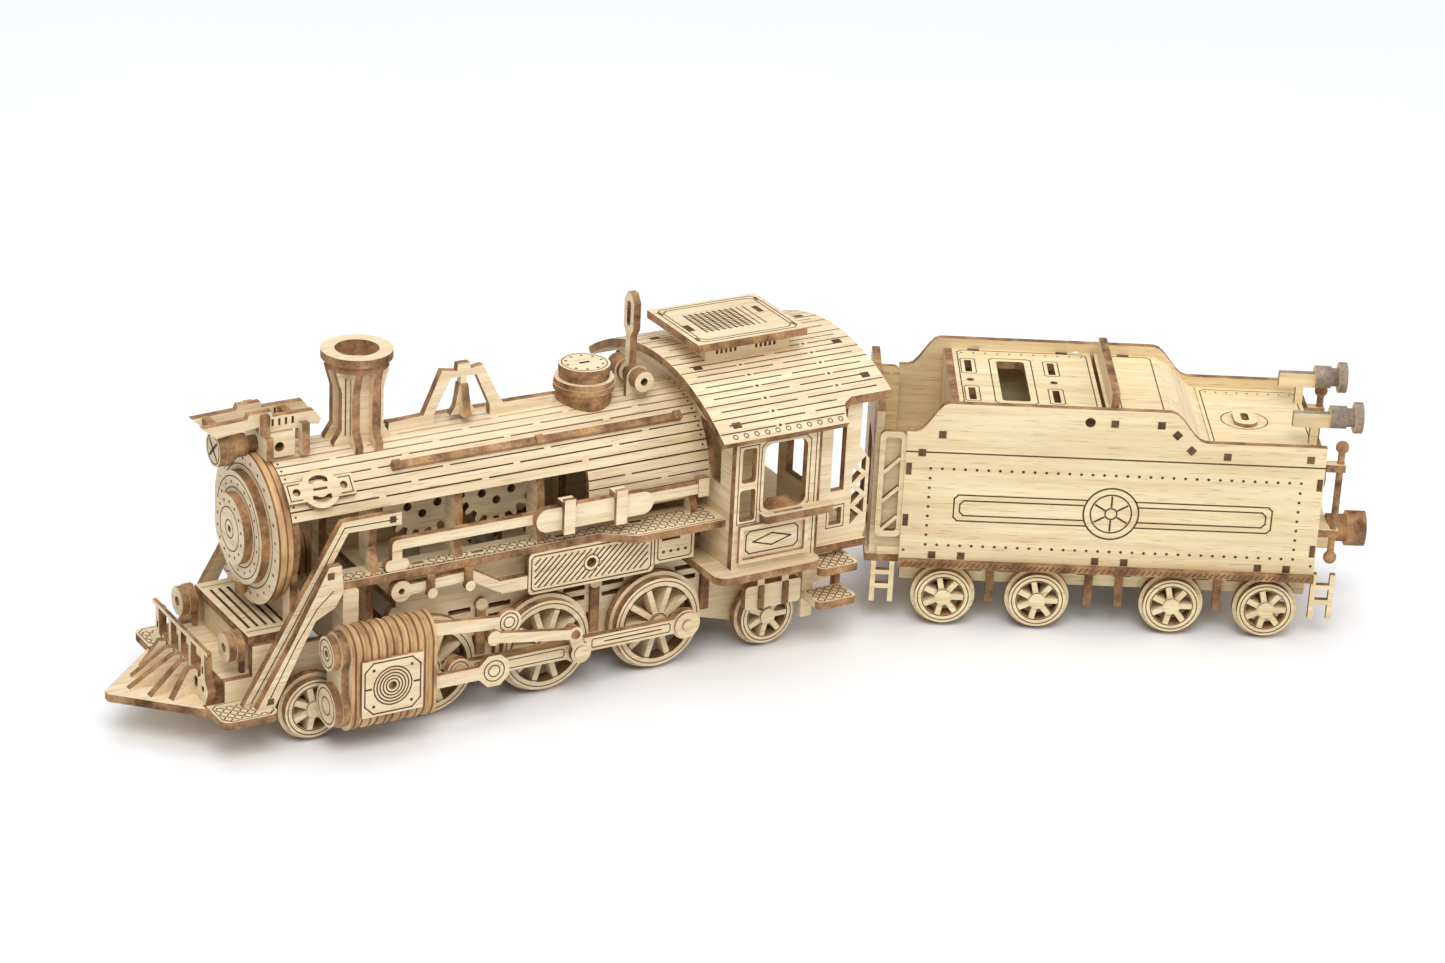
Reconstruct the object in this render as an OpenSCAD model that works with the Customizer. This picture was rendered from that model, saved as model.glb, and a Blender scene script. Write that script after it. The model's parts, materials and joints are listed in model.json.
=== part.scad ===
// Laser-cut plywood steam locomotive with tender, as an assembly of flat plates on edge.
// X runs along the locomotive (front towards -X), Y across it, Z up from the table.

/* [Sheet] */
// Thickness of the plywood sheet
ply = 2; // [1.8:0.1:2.2]
// Width of a laser-cut slit
slit = 0.4; // [0.3:0.05:0.5]

/* [Wheels] */
// Tread radius of the driving wheels
driver_r = 11.8; // [11.5:0.1:11.9]
// Distance between driving axles
driver_pitch = 31.2; // [31:0.1:31.5]
// Tread radius of the pilot and trailing wheels
small_r = 7.5; // [7.3:0.1:7.6]
// Tread radius of the tender wheels
tender_r = 7.2; // [7:0.1:7.2]
// Height of a flange above its tread
flange_h = 1.0; // [0.8:0.1:1.1]
// Distance of the outer wheel face from the middle
wheel_face = 22.9; // [22.8:0.1:23]
// Radius of every axle
axle_r = 1.5; // [1.3:0.1:1.6]
// Throw of the crank pins
crank_throw = 5.8; // [5.4:0.1:5.8]
// Radial clearance of turning fits
running_fit = 0.06; // [0.04:0.01:0.1]

/* [Boiler] */
// Height of the boiler axis above the table
boiler_z = 47.8; // [47.5:0.1:48]
// Outer radius of the planked boiler
boiler_r = 18.3; // [18.1:0.1:18.4]
// Front face of the smokebox ring
smokebox_x = -68.8; // [-69:0.1:-68.5]
// Front wall of the cab
cab_x = 46.5; // [46.4:0.1:46.6]

/* [Cab] */
// Half width over the cab sides
cab_half = 31; // [30.8:0.1:31.2]
// Top of the cab floor
cab_floor_z = 27.3; // [27.2:0.1:27.4]
// Half width over the roof eaves
roof_half = 34.8; // [34.6:0.1:35]
// Radius of the roof bow
roof_bow = 60; // [59:0.5:61]
// Height of the roof crown
roof_top = 74.5; // [74.4:0.1:74.6]

/* [Tender] */
// Distance of the coupling pin behind the middle driving axle
pin_x = 101; // [100.8:0.1:101.2]
// Angle at which the tender stands to the locomotive
tender_yaw = -29.7; // [-30:0.1:-29]
// Outer face of the tender sides
tender_half = 23.5; // [23.4:0.1:23.6]

/* [Hidden] */
$fn = 48;

// The frame's origin is the middle of the box around the whole train
origin_x = 57.46;
origin_y = -21.77;

cream = "#e9d6ae";
tan = "#d8bd8a";
burnt = "#8a5a2e";

frame_out = 17.5;
flange_r = driver_r + flange_h;
small_flange_r = small_r + flange_h;
tender_flange_r = tender_r + flange_h;
pilot_axle_x = -61.5;
trailing_axle_x = 62.7;
board_top = 39.7;
board_x0 = -57;
rods_y = 25;
main_rod_y = 27.1;
crosshead_y = 28.9;
rod_t = 1.4;
eccentric_y = 30.6;
crosshead_x = -17.8;
eccentric_end = [3.2, flange_r + 6.2];
link_end = [-18.7, 22.3];
block_y = 29.4;
block_x0 = -57.5;
block_x1 = -35.5;
cab_rear = 70.1;
firebox_x = 13;
tender_wheel_x = [23.2, 47.3, 81.7, 105.8];
gear_teeth = 18;
gear_module = 1.1;
axle_gear_teeth = 20;
gear_y = 6;
gear_pitch_r = gear_teeth * gear_module / 2;
gear_z = 50.8;
gear_front_x = -26.2;
gear_rear_x = gear_front_x + 2 * gear_pitch_r + 0.1;
axle_2 = [0, flange_r];
gear_rear_c = [gear_rear_x, gear_z];

// The idler stands where both its meshes have the same small backlash
idler_a = 2 * gear_pitch_r + 0.1;
idler_b = gear_pitch_r + axle_gear_teeth * gear_module / 2 + 0.1;
train = axle_2 - gear_rear_c;
train_a = (pow(idler_a, 2) - pow(idler_b, 2) + pow(norm(train), 2)) / (2 * norm(train));
train_h = sqrt(pow(idler_a, 2) - pow(train_a, 2));
idler = gear_rear_c + (train * train_a + [-train[1], train[0]] * train_h) / norm(train);
rear_phase = 0;
front_phase = mesh_phase(180, rear_phase, gear_teeth, gear_teeth);
idler_phase = mesh_phase(direction(gear_rear_c, idler), rear_phase, gear_teeth, gear_teeth);
axle_phase = mesh_phase(direction(idler, axle_2), idler_phase, gear_teeth, axle_gear_teeth);

// A flat plate in the XZ plane, its middle at height y
module plate_xz(y, t = ply) {
    translate([0, y + t / 2, 0]) rotate([90, 0, 0]) linear_extrude(t) children();
}

// A flat plate in the YZ plane, its low face at x
module plate_yz(x, t = ply) {
    translate([x, 0, 0]) rotate([90, 0, 90]) linear_extrude(t) children();
}

// A flat plate in the XY plane, its low face at z
module plate_xy(z, t = ply) {
    translate([0, 0, z]) linear_extrude(t) children();
}

// The same shape on both sides of the middle
module pair() {
    children();
    mirror([0, 1, 0]) children();
}

module rod_y(x, z, y0, y1, r) {
    translate([x, y1, z]) rotate([90, 0, 0]) cylinder(r = r, h = y1 - y0);
}

module rod_x(y, z, x0, x1, r) {
    translate([x0, y, z]) rotate([0, 90, 0]) cylinder(r = r, h = x1 - x0);
}

module rod_z(x, y, z0, z1, r) {
    translate([x, y, z0]) cylinder(r = r, h = z1 - z0);
}

// A box given by its low and high corners
module block(a, b) {
    translate(a) cube(b - a);
}

// A 2D bar between two points
module bar(a, b, w) {
    d = b - a;
    translate(a) rotate(atan2(d[1], d[0])) translate([0, -w / 2]) square([norm(d), w]);
}

// A 2D rectangle with rounded corners
module rounded(x0, y0, x1, y1, r) {
    translate([x0 + r, y0]) square([x1 - x0 - 2 * r, y1 - y0]);
    translate([x0, y0 + r]) square([x1 - x0, y1 - y0 - 2 * r]);
    for (x = [x0 + r, x1 - r], y = [y0 + r, y1 - r]) translate([x, y]) circle(r);
}

// Everything that belongs to the locomotive
module loco() {
    translate([-origin_x, -origin_y, 0]) children();
}

// Everything that belongs to the tender, in the tender's own frame
module tender() {
    loco() translate([pin_x, 0, 0]) rotate([0, 0, tender_yaw]) children();
}

/* ---- Locomotive frame ---- */

module frame_outline() {
    polygon([[-82, 9.9], [-70.4, 9.9], [-66, 5.6], [-57, 5.6], [-52, 9.6], [44, 9.6],
        [58, 5.6], [67.4, 5.6], [71, 12], [84, 12], [84, 25.3], [41, 25.3], [38, 28],
        [-39, 28], [-41.5, 23.4], [-62, 23.4], [-62, 25], [-75, 25], [-75, 17.2],
        [-82, 17.2]]);
}

module frame_windows() {
    for (x = [-15.6, 15.6, 46.8], s = [-1, 1], z = [20.2, 23])
        translate([x + s * 5.4 - 3, z]) square([6, 1.3]);
    for (x = [-15.6, 15.6]) translate([x - 1.8, 13.5]) square([3.6, 3]);
    for (x = [-70.5, -54]) translate([x, 14.5]) square([5, 5]);
}

module frame_plates() {
    color(cream) loco() pair() {
        difference() {
            plate_xz(frame_out - ply / 2) difference() {
                frame_outline();
                frame_windows();
            }
            for (x = [-driver_pitch, 0, driver_pitch])
                rod_y(x, flange_r, 10, 20, axle_r + running_fit);
            for (x = [pilot_axle_x, trailing_axle_x])
                rod_y(x, small_flange_r, 10, 20, axle_r + running_fit);
        }
        for (x = [-15.6, 15.6, 46.8]) {
            block([x - 1.2, frame_out, 11.5], [x + 1.2, frame_out + 1, 25]);
            rod_y(x, 25, frame_out, frame_out + 1.2, 1.6);
        }
    }
}

module frame_spacers() {
    inner = frame_out - ply;
    color(tan) loco() {
        for (x = [-46, -15.6, 15.6, 45])
            block([x - 1, -inner, 12], [x + 1, inner, 24.6]);
        block([70, -inner, 20], [84, inner, 22]);
        difference() {
            union() {
                block([84, -6, 20], [96, 6, 22]);
                rod_z(pin_x, 0, 20, 22, 4.6);
            }
            rod_z(pin_x, 0, 19, 23, 2 + running_fit);
        }
        difference() {
            union() {
                plate_xy(28, 1.6) square([76, 2 * inner], center = true);
                for (y = [gear_y - 2.4, gear_y + 2.4])
                    block([idler[0] - 3, y - 0.9, 29], [idler[0] + 3, y + 0.9, idler[1] + 3]);
            }
            block([idler[0] - 10.4, gear_y - 1.4, 27], [idler[0] + 10.4, gear_y + 1.4, 31]);
            rod_y(idler[0], idler[1], 0, 12, axle_r + running_fit);
        }
    }
}

module pilot_bar(foot_x, foot_y, top_y) {
    top_x = -86.3;
    translate([top_x, top_y, 0])
        rotate([0, 0, atan2(foot_y - top_y, foot_x - top_x) + 180])
        plate_xz(0) polygon([[0, 11.3], [0, 18], [-1.6, 18],
            [-norm([foot_x - top_x, foot_y - top_y]), 11.3]]);
}

module pilot_plate() {
    color(cream) loco() {
        plate_xy(9.3) polygon([[-104.6, -1], [-104.6, 1], [-86.8, 18], [-86.8, 15.4],
            [-82, 15.4], [-82, -15.4], [-86.8, -15.4], [-86.8, -18]]);
        for (s = [-1, 1]) {
            pilot_bar(-96.2, s * 5.8, s * 3.9);
            pilot_bar(-92.4, s * 9.8, s * 8.2);
        }
        pilot_bar(-99.2, 0, 0);
    }
}

module bracket_face() {
    difference() {
        polygon([[10.8, 11.3], [15.4, 11.3], [17, 15], [15, 17.5], [14.6, 24],
            [13, 24], [12.6, 17.5], [10.8, 16.4]]);
        translate([13.2, 14]) square(1.4);
        translate([13.2, 18.6]) square([0.9, 1.8]);
    }
}

module buffer_beam() {
    color(tan) loco() {
        pair() plate_yz(-86) bracket_face();
        block([-86, -10.8, 11.3], [-84, 10.8, 13.6]);
        block([-84, -15.4, 11.3], [-82, 15.4, 17.2]);
        for (y = [-6, 0, 6]) block([-86, y - 0.7, 18], [-84.6, y + 0.7, 24]);
        block([-86, -10.8, 16.2], [-84, 10.8, 18]);
        block([-86, -16.6, 24], [-85, 16.6, 25]);
    }
}

module deck_slats() {
    for (i = [0 : 4]) translate([-73.6 + i * 2.2, -11.6]) square([0.8, 23.2]);
}

module pilot_deck() {
    side = frame_out - ply;
    color(cream) loco() {
        block([-82, -side, 15.2], [-62, side, 17.2]);
        difference() {
            plate_xy(25) union() {
                translate([-75.4, -16]) square([13.4, 32]);
                translate([-62, -9]) square([8, 18]);
            }
            translate([0, 0, 24]) linear_extrude(4) deck_slats();
        }
        pair() block([-74.2, 11, 17.2], [-63, 13, 25]);
        block([-74.2, -11, 17.2], [-72.2, 11, 25]);
    }
}

module lamp_stack(x, y, z, r) {
    rod_x(y, z, x - 2, x, r);
    rod_x(y, z, x - 4, x - 2, r * 0.92);
}

module marker_lamps() {
    color(burnt) loco() pair() {
        difference() {
            lamp_stack(-76.8, 14, 24.4, 3.9);
            rod_x(14, 24.4, -81.5, -80, 1.2);
        }
        block([-76.8, 13.3, 17.2], [-75.7, 14.7, 24.4]);
    }
}

module step_plates() {
    color(tan) loco() pair() plate_xy(9.9) difference() {
        rounded(-86.7, 12, -72.4, 27.8, 2.4);
        translate([-90, 10]) square([20, 7.5]);
        translate([-90, 10]) square([3.2, 9]);
    }
}

module front_braces() {
    color(cream) loco() pair() {
        plate_xz(21) polygon([[-79.4, 11.9], [-75.5, 11.9], [-64.9, 30.1], [-52.6, 52],
            [-38.9, 51.7], [-38.9, 55], [-54.2, 54.9], [-68.3, 30.8]]);
        plate_xz(23.6) polygon([[-76.9, 11.9], [-72.4, 11.9], [-65, 26.7], [-62, 32.2],
            [-57.1, 34.7], [-54.9, 38.4], [-55.5, 45.3], [-58.6, 45.3], [-68, 27.3]]);
        block([-59.2, 22, 42.4], [-58.2, 22.6, 44]);
        block([-52, 17.6, 52.3], [-50, 20, 53.9]);
    }
}

/* ---- Boiler ---- */

module disc_yz(x, r, t = ply) {
    rod_x(0, boiler_z, x, x + t, r);
}

module smokebox_ring() {
    color(burnt) loco() difference() {
        union() {
            disc_yz(smokebox_x, 18.9, 2.4);
            disc_yz(smokebox_x + 2.4, 18.1, 1.8);
        }
        rod_x(0, boiler_z, smokebox_x + 2, smokebox_x + 5, 12);
    }
}

module smokebox_door() {
    color(cream) loco() {
        disc_yz(smokebox_x - 2.2, 13.7, 2.2);
        difference() {
            disc_yz(smokebox_x - 4.4, 8.7, 2.2);
            disc_yz(smokebox_x - 5, 0.9, 1.6);
        }
        rod_z(smokebox_x - 1.5, 0, boiler_z - 16.8, boiler_z - 13.7, 1.4);
    }
}

module headlamp() {
    color(tan) loco() {
        rod_x(0, 68.8, -77.2, -75.4, 4.2);
        rod_x(0, 68.8, -75.4, -73.4, 4.4);
        rod_x(0, 68.8, -73.4, -72.2, 3.2);
        rod_x(0, 68.8, -72.2, -69.4, 2.8);
        rod_x(0, 68.8, -69.4, -66.6, 1.9);
        difference() {
            block([-66.6, -5.2, 66.4], [-58.8, 5.2, 72.4]);
            rod_y(-62.7, 69, -6, 6, 1.2);
            block([-65.6, -3.8, 67.4], [-59.8, 3.8, 71.4]);
        }
        pair() block([-66.6, 5.2, 66.4], [-64.8, 6.6, 71.9]);
    }
}

module visor_outline() {
    difference() {
        polygon([[-81.6, 76.2], [-78.2, 73.2], [-67.4, 74.4], [-67.4, 72.6], [-57.4, 72.6],
            [-57.4, 70], [-55.6, 70], [-55.4, 73.4], [-52.4, 72.6], [-51.6, 74],
            [-53.4, 76.4], [-64, 76.4], [-64.2, 77.8], [-70, 77.8], [-70.4, 76.6]]);
        for (i = [0 : 4]) translate([-66 + i * 1.7, 74]) square([0.6, 1.8]);
    }
}

module headlamp_visor() {
    color(cream) loco() {
        pair() plate_xz(3.2) visor_outline();
        for (x = [-79, -60]) block([x, -2.2, 74.6], [x + 2, 2.2, 76.2]);
        pair() block([-67.2, 4.2, 72.4], [-65.2, 5.6, 77.4]);
        pair() block([-57.4, 4.2, 66.4], [-55.4, 6.2, 74.2]);
    }
}

// A boiler former standing on legs; the open ones leave the middle to the gears
module former(x, low, open = false) {
    inner = frame_out - ply - 0.1;
    plate_yz(x) difference() {
        union() {
            intersection() {
                translate([0, boiler_z]) circle(boiler_r - 1.3);
                translate([-20, 41.3]) square([40, 40]);
            }
            translate([-inner, low]) square([2 * inner, 43 - low]);
        }
        translate([0, boiler_z + 2.4]) circle(11.4);
        translate([-11.4, low - 1]) square([22.8, boiler_z + 3.4 - low]);
        if (open) translate([-11.4, low - 1]) square([22.8, 60]);
    }
}

module boiler_formers() {
    color(tan) loco() {
        former(-64.6, 27);
        former(-45, 23.4);
        for (x = [-22.4, -0.4]) former(x, 29.6, true);
        for (x = [20.6, 44.4]) former(x, x < 40 ? 29.6 : 27.3);
        lever_bracket();
    }
}

// The planked sheet seen from the front, parted by slits between two angles
module plank_arc(first, last, count) {
    step = (last - first) / count;
    difference() {
        circle(boiler_r, $fn = 96);
        circle(boiler_r - 1.3, $fn = 96);
        polygon([[0, 0], 40 * [cos(last), sin(last)], [40 * cos(last), 40],
            [-40, 40], [-40, -40], [40 * cos(first), -40], 40 * [cos(first), sin(first)]]);
        for (i = [1 : count - 1]) rotate(first + i * step) translate([0, -slit / 2]) square([40, slit]);
    }
}

module boiler_wrap() {
    wrap_x = smokebox_x + 4.2;
    color(cream) loco() translate([0, 0, boiler_z]) {
        pair() plate_yz(wrap_x, cab_x - wrap_x) plank_arc(21.8, 89.3, 9);
        pair() plate_yz(firebox_x, cab_x - firebox_x) plank_arc(-17, 20.4, 5);
    }
}

module boiler_rails() {
    color(burnt) loco() pair() translate([0, 0, boiler_z]) rotate([50, 0, 0]) {
        block([-37, boiler_r, -0.9], [40.9, boiler_r + 1.4, 0.9]);
        for (x = [-37, 1, 38.9])
            block([x, boiler_r + 1.4, -1.1], [x + 2, boiler_r + 1.9, 1.1]);
    }
}

module badge_outline() {
    difference() {
        union() {
            translate([-8.6, -2.6]) square([17.2, 5.2]);
            circle(4.8);
        }
        for (x = [-6, 6]) translate([x, 0]) circle(0.95);
        for (s = [-1, 1]) intersection() {
            difference() {
                circle(3.4);
                circle(2.1);
            }
            translate([-2.4, s > 0 ? 1.5 : -4.5]) square([4.8, 3]);
        }
    }
}

module badges() {
    color(cream) loco() pair()
        translate([-56.6, 0, boiler_z]) rotate([-48, 0, 0])
        translate([0, 0, boiler_r]) linear_extrude(1.6) badge_outline();
}

module fin_outline() {
    polygon([[-7.4, 64.2], [7.4, 64.2], [7.4, 66.6], [5.4, 69.6], [5.4, 79], [7, 84.6],
        [-7, 84.6], [-5.4, 79], [-5.4, 69.6], [-7.4, 66.6]]);
}

module chimney() {
    color(cream) loco() translate([-40.6, 0, 0]) {
        difference() {
            rod_z(0, 0, 86.6, 88.6, 8.6);
            rod_z(0, 0, 86, 89, 5.3);
        }
        difference() {
            rod_z(0, 0, 84.6, 86.6, 7.6);
            rod_z(0, 0, 84, 87, 5.3);
        }
        difference() {
            for (s = [-1, 1]) {
                plate_yz(s * 2.6 - 1) fin_outline();
                plate_xz(s * 2.6) fin_outline();
            }
            rod_x(0, boiler_z, -10, 10, boiler_r);
        }
    }
}

module bell_frame() {
    top = boiler_z + boiler_r;
    color(cream) loco() plate_xz(0) difference() {
        polygon([[-32.6, top], [-32.6, 68.4], [-23.4, 68.8], [-18.6, 79.6], [-14.6, 78.8],
            [-14.4, 80.6], [-11.2, 80.6], [-11, 79], [-7.6, 79.4], [-3, 70.2], [-2, 68.8],
            [11.6, 68.6], [11.6, top]]);
        polygon([[-20.6, top - 1], [-20.6, 68.6], [-16.2, 77.2], [-9.4, 77.2], [-5.6, 68.6],
            [-5.6, top - 1]]);
    }
}

module bell() {
    half = [[0, 75.6], [1, 75.4], [1.7, 72], [2.2, 69.6], [3.4, 67.6], [1.4, 67.6], [0, 69.4]];
    color(tan) loco() translate([-12.8, 0, 0]) {
        plate_xz(0) union() {
            polygon(half);
            mirror([1, 0]) polygon(half);
            translate([-0.8, 75]) square([1.6, 2.2]);
        }
        for (s = [-1, 1]) translate([0, s, 0]) rotate([0, 0, s * 90])
            rotate([90, 0, 0]) translate([0, 0, -1]) linear_extrude(2)
            polygon([[0, 67.6], [0, 75.4], [0.6, 75.2], [1.3, 72], [1.8, 69.6], [2.8, 67.6]]);
    }
}

module dome() {
    color(tan) loco() translate([20.5, 0, 0]) {
        difference() {
            translate([0, 0, 64.5]) cylinder(r = 6.9, h = 4.4);
            translate([-10, 0, boiler_z]) rotate([0, 90, 0]) cylinder(r = boiler_r, h = 20);
        }
        translate([0, 0, 68.9]) cylinder(r = 7.6, h = 1.4);
        translate([0, 0, 70.3]) cylinder(r = 7.4, h = 1.4);
        translate([0, 0, 71.7]) cylinder(r = 6.2, h = 1.5);
        difference() {
            translate([0, 0, 73.2]) cylinder(r = 6.4, h = 2);
            translate([-1.4, -0.5, 74]) cube([2.8, 1, 2]);
        }
    }
}

module running_boards() {
    color(tan) loco() pair() {
        difference() {
            plate_xy(board_top - ply) polygon([[board_x0, 15.5], [board_x0, 22.3], [14, 22.3],
                [22, 27.4], [cab_x, 27.4], [cab_x, 15.5]]);
            for (x = [-33.4, -17.6, 5, 25.4])
                block([x - 1.6, 18.8, 36], [x + 1.6, 20, 41]);
        }
        difference() {
            for (x = [-46, -24, -2, 40.4]) plate_yz(x) polygon([[17.05, board_top],
                [20.6, board_top], [20.2, board_top + 1.6], [18.4, board_top + 5.6],
                [17.05, board_top + 7]]);
            rod_x(0, boiler_z, -50, cab_x, boiler_r);
        }
        block([-38, 15.5, 28], [41, 17.5, board_top - ply]);
        block([board_x0, 15.5, 35.6], [-38, 17.5, board_top - ply]);
    }
}

module air_tanks() {
    tank_y = 21.9;
    tank_z = 46.4;
    color(cream) loco() pair() {
        plate_xz(tank_y - 1.2) union() {
            bar([-39.8, tank_z], [41.6, tank_z], 2.6);
            translate([-39.8, tank_z]) circle(1.3);
            bar([-39.8, tank_z], [-39.8, board_top + 2], 2.6);
            rounded(-42.8, board_top, -36.8, board_top + 3, 1.2);
        }
        plate_xz(tank_y + 0.8) union() {
            translate([-1, tank_z - 3]) square([26, 6]);
            for (x = [-1, 25]) translate([x, tank_z]) circle(3);
        }
        for (x = [4.4, 18.6]) {
            plate_xz(tank_y + 2.4, 1.2) translate([x - 1.5, tank_z - 4]) square([3, 9]);
            block([x - 1.9, tank_y - 0.2, tank_z + 3], [x + 1.9, tank_y + 2.6, tank_z + 4.6]);
        }
        block([41.6, tank_y - 2.4, tank_z - 2.2], [44.6, tank_y, tank_z + 2.6]);
    }
}

module lower_pipes() {
    pipe_y = 21.3;
    color(cream) loco() pair() difference() {
        union() {
            plate_xz(pipe_y) union() {
                translate([-38.8, 34.4]) circle(2.7);
                bar([-38.8, 34.4], [-20.6, 35.2], 2.6);
                bar([-20.6, 35.2], [-12.4, 30.4], 2.6);
                bar([-12.4, 30.4], [-5.3, 30.4], 3.4);
                for (p = [[-20.6, 35.2], [-12.4, 30.4]]) translate(p) circle(1.3);
            }
            for (x = [-31.4, -21.4]) {
                block([x - 1, pipe_y + 1, 33], [x + 1, pipe_y + 1.8, board_top - ply]);
                rod_y(x, 33.2, pipe_y + 1, pipe_y + 2.6, 1.3);
            }
        }
        rod_y(-38.8, 34.4, 20, 30, 0.8);
    }
}

module side_panels() {
    panel_y = 21.3;
    color(cream) loco() pair() {
        plate_xz(panel_y) difference() {
            rounded(-5, 26.8, 29.5, board_top - ply, 1.2);
            translate([12.2, 32.4]) circle(1.3);
        }
        plate_xz(panel_y) difference() {
            translate([29.8, 28.6]) square([11, board_top - ply - 28.6]);
            translate([31.6, 34.4]) square([5.2, 1.6]);
        }
    }
}

/* ---- Cylinders and valve gear ---- */

module block_profile(r) {
    intersection() {
        union() {
            translate([block_y, 11.2]) circle(r);
            translate([block_y, 26]) circle(r);
            translate([block_y - r, 11.2]) square([2 * r, 14.8]);
        }
        translate([20, 0]) square([15.2, 40]);
    }
}

module cylinder_blocks() {
    color(burnt) loco() pair() {
        difference() {
            for (i = [0 : 10])
                plate_yz(block_x0 + i * ply) block_profile(i % 2 == 1 ? 5.45 : 5.8);
            block([block_x0 + 1, crosshead_y - 0.15, flange_r - 1.85],
                [block_x1 + 1, crosshead_y + rod_t + 0.15, flange_r + 1.85]);
            // Room for the front end of the coupling rod
            rod_y(-driver_pitch, flange_r, rods_y - 2, rods_y + 2.3, crank_throw + 3.6);
        }
        for (i = [0, 1])
            block([-54.6 + i * ply, frame_out, 19.4 + i], [-52.6 + i * ply, 23.6, 37.7]);
    }
}

module cylinder_covers() {
    color(cream) loco() pair() {
        plate_yz(block_x0 - ply) union() {
            translate([block_y, 12.2]) circle(5.6);
            translate([block_y, 25.8]) circle(4.9);
            translate([block_y - 4, 12.2]) square([8, 13.6]);
        }
        difference() {
            union() {
                rod_x(block_y, 12.2, block_x0 - 4, block_x0 - ply, 5.3);
                rod_x(block_y, 25.8, block_x0 - 4, block_x0 - ply, 4.2);
            }
            rod_x(block_y, 25.8, block_x0 - 5, block_x0 - 3, 0.9);
        }
        plate_xz(35.6, 0.8) difference() {
            translate([-55.3, 10.4]) square([15.8, 14.6]);
            translate([-47.4, 17.7]) circle(1.1);
        }
    }
}

module valve_links() {
    ring = [-14.1, 25];
    color(cream) loco() pair() plate_xz(crosshead_y + rod_t / 2, rod_t) union() {
        translate(ring) circle(3.2);
        bar([block_x1 + 0.3, 27], ring, 3.2);
        bar(ring, link_end, 2.4);
        translate(link_end) circle(1.5);
    }
}

module octagon(r) {
    rotate(22.5) circle(r, $fn = 8);
}

module crossheads() {
    color(cream) loco() pair() plate_xz(crosshead_y + rod_t / 2, rod_t) union() {
        translate([crosshead_x, flange_r]) octagon(4.4);
        translate([-44, flange_r - 1.7]) square([crosshead_x + 44 - 3.4, 3.4]);
    }
}

module rod_bar(x0, x1, h, r0, r1) {
    translate([x0, flange_r - h / 2]) square([x1 - x0, h]);
    translate([x0, flange_r]) circle(r0);
    translate([x1, flange_r]) circle(r1);
}

module connecting_rods() {
    pin_fit = 1.4 + running_fit;
    first = -driver_pitch + crank_throw;
    last = driver_pitch + crank_throw;
    color(cream) loco() pair() difference() {
        union() {
            plate_xz(rods_y + 0.9, 1.8) {
                rod_bar(first, last, 3.8, 3.2, 3.9);
                translate([crank_throw, flange_r]) circle(3.2);
            }
            plate_xz(main_rod_y + 0.7, 1.4) rod_bar(crosshead_x, crank_throw, 3.8, 2.1, 2.9);
            rod_y(crank_throw, flange_r, rods_y + 1.8, main_rod_y, 2.2);
            rod_y(last, flange_r, rods_y + 1.8, rods_y + 2.4, 3.4);
        }
        for (x = [first, crank_throw, last]) rod_y(x, flange_r, 20, 40, pin_fit);
        block([14, rods_y + 1.4, flange_r - slit / 2], [30, rods_y + 3, flange_r + slit / 2]);
    }
}

module eccentric_rods() {
    color(cream) loco() pair() difference() {
        plate_xz(eccentric_y + rod_t / 2, rod_t) union() {
            bar(link_end, eccentric_end, 2.6);
            translate(link_end) circle(1.9);
            translate(eccentric_end) circle(2);
        }
        rod_y(eccentric_end[0], eccentric_end[1], 20, 40, 1.1 + running_fit);
    }
}

/* ---- Wheels ---- */

// A spoked disc in the XY plane
module spoked(r, rim, hub, spokes, w) {
    difference() {
        circle(r, $fn = 72);
        difference() {
            circle(r - rim);
            circle(hub);
            for (i = [0 : spokes - 1]) rotate(i * 360 / spokes)
                translate([0, -w / 2]) square([r, w]);
        }
    }
}

// One axle with a flanged wheel at each end, turning about Y
module wheelset(r, rim, hub, spokes, w) {
    rod_y(0, 0, -wheel_face, wheel_face, axle_r);
    pair() {
        plate_xz(wheel_face - 3, ply) spoked(r + flange_h, rim + flange_h, hub, spokes, w);
        plate_xz(wheel_face - 1, ply) spoked(r, rim, hub, spokes, w);
        rod_y(0, 0, frame_out + 0.1, wheel_face - 4, 2.6);
        rod_y(0, 0, wheel_face, wheel_face + 0.5, 2.1);
    }
}

module driver(pin_end) {
    wheelset(driver_r, 2, 2.9, 10, 1.4);
    pair() {
        rod_y(crank_throw, 0, wheel_face - 4, wheel_face + 0.4, 2.6);
        rod_y(crank_throw, 0, wheel_face + 0.4, pin_end, 1.4);
    }
}

module driver_wheels_1() {
    color(tan) loco() translate([-driver_pitch, 0, flange_r]) driver(rods_y + 2);
}

module driver_wheels_2() {
    pin = [crank_throw, 0];
    end = eccentric_end - [0, flange_r];
    color(tan) loco() translate([0, 0, flange_r]) {
        driver(crosshead_y + 0.1);
        plate_xz(gear_y) gear_outline(axle_gear_teeth, axle_phase);
        pair() {
            plate_xz(crosshead_y + rod_t / 2, rod_t) union() {
                bar(pin, end, 3.2);
                translate(pin) circle(2.7);
                translate(end) circle(1.8);
            }
            rod_y(pin[0], pin[1], crosshead_y + rod_t, crosshead_y + rod_t + 0.3, 1.9);
            rod_y(end[0], end[1], crosshead_y + rod_t, eccentric_y + rod_t + 0.3, 1.1);
        }
    }
}

module driver_wheels_3() {
    color(tan) loco() translate([driver_pitch, 0, flange_r]) driver(rods_y + 2.8);
}

module small_wheelset(r) {
    wheelset(r, 2, 2.3, 7, 1.4);
}

module pilot_wheels() {
    color(tan) loco() translate([pilot_axle_x, 0, small_flange_r]) small_wheelset(small_r);
}

module trailing_wheels() {
    color(tan) loco() translate([trailing_axle_x, 0, small_flange_r]) small_wheelset(small_r);
}

module tender_wheels(i) {
    color(tan) tender() translate([tender_wheel_x[i], 0, tender_flange_r]) small_wheelset(tender_r);
}

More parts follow.
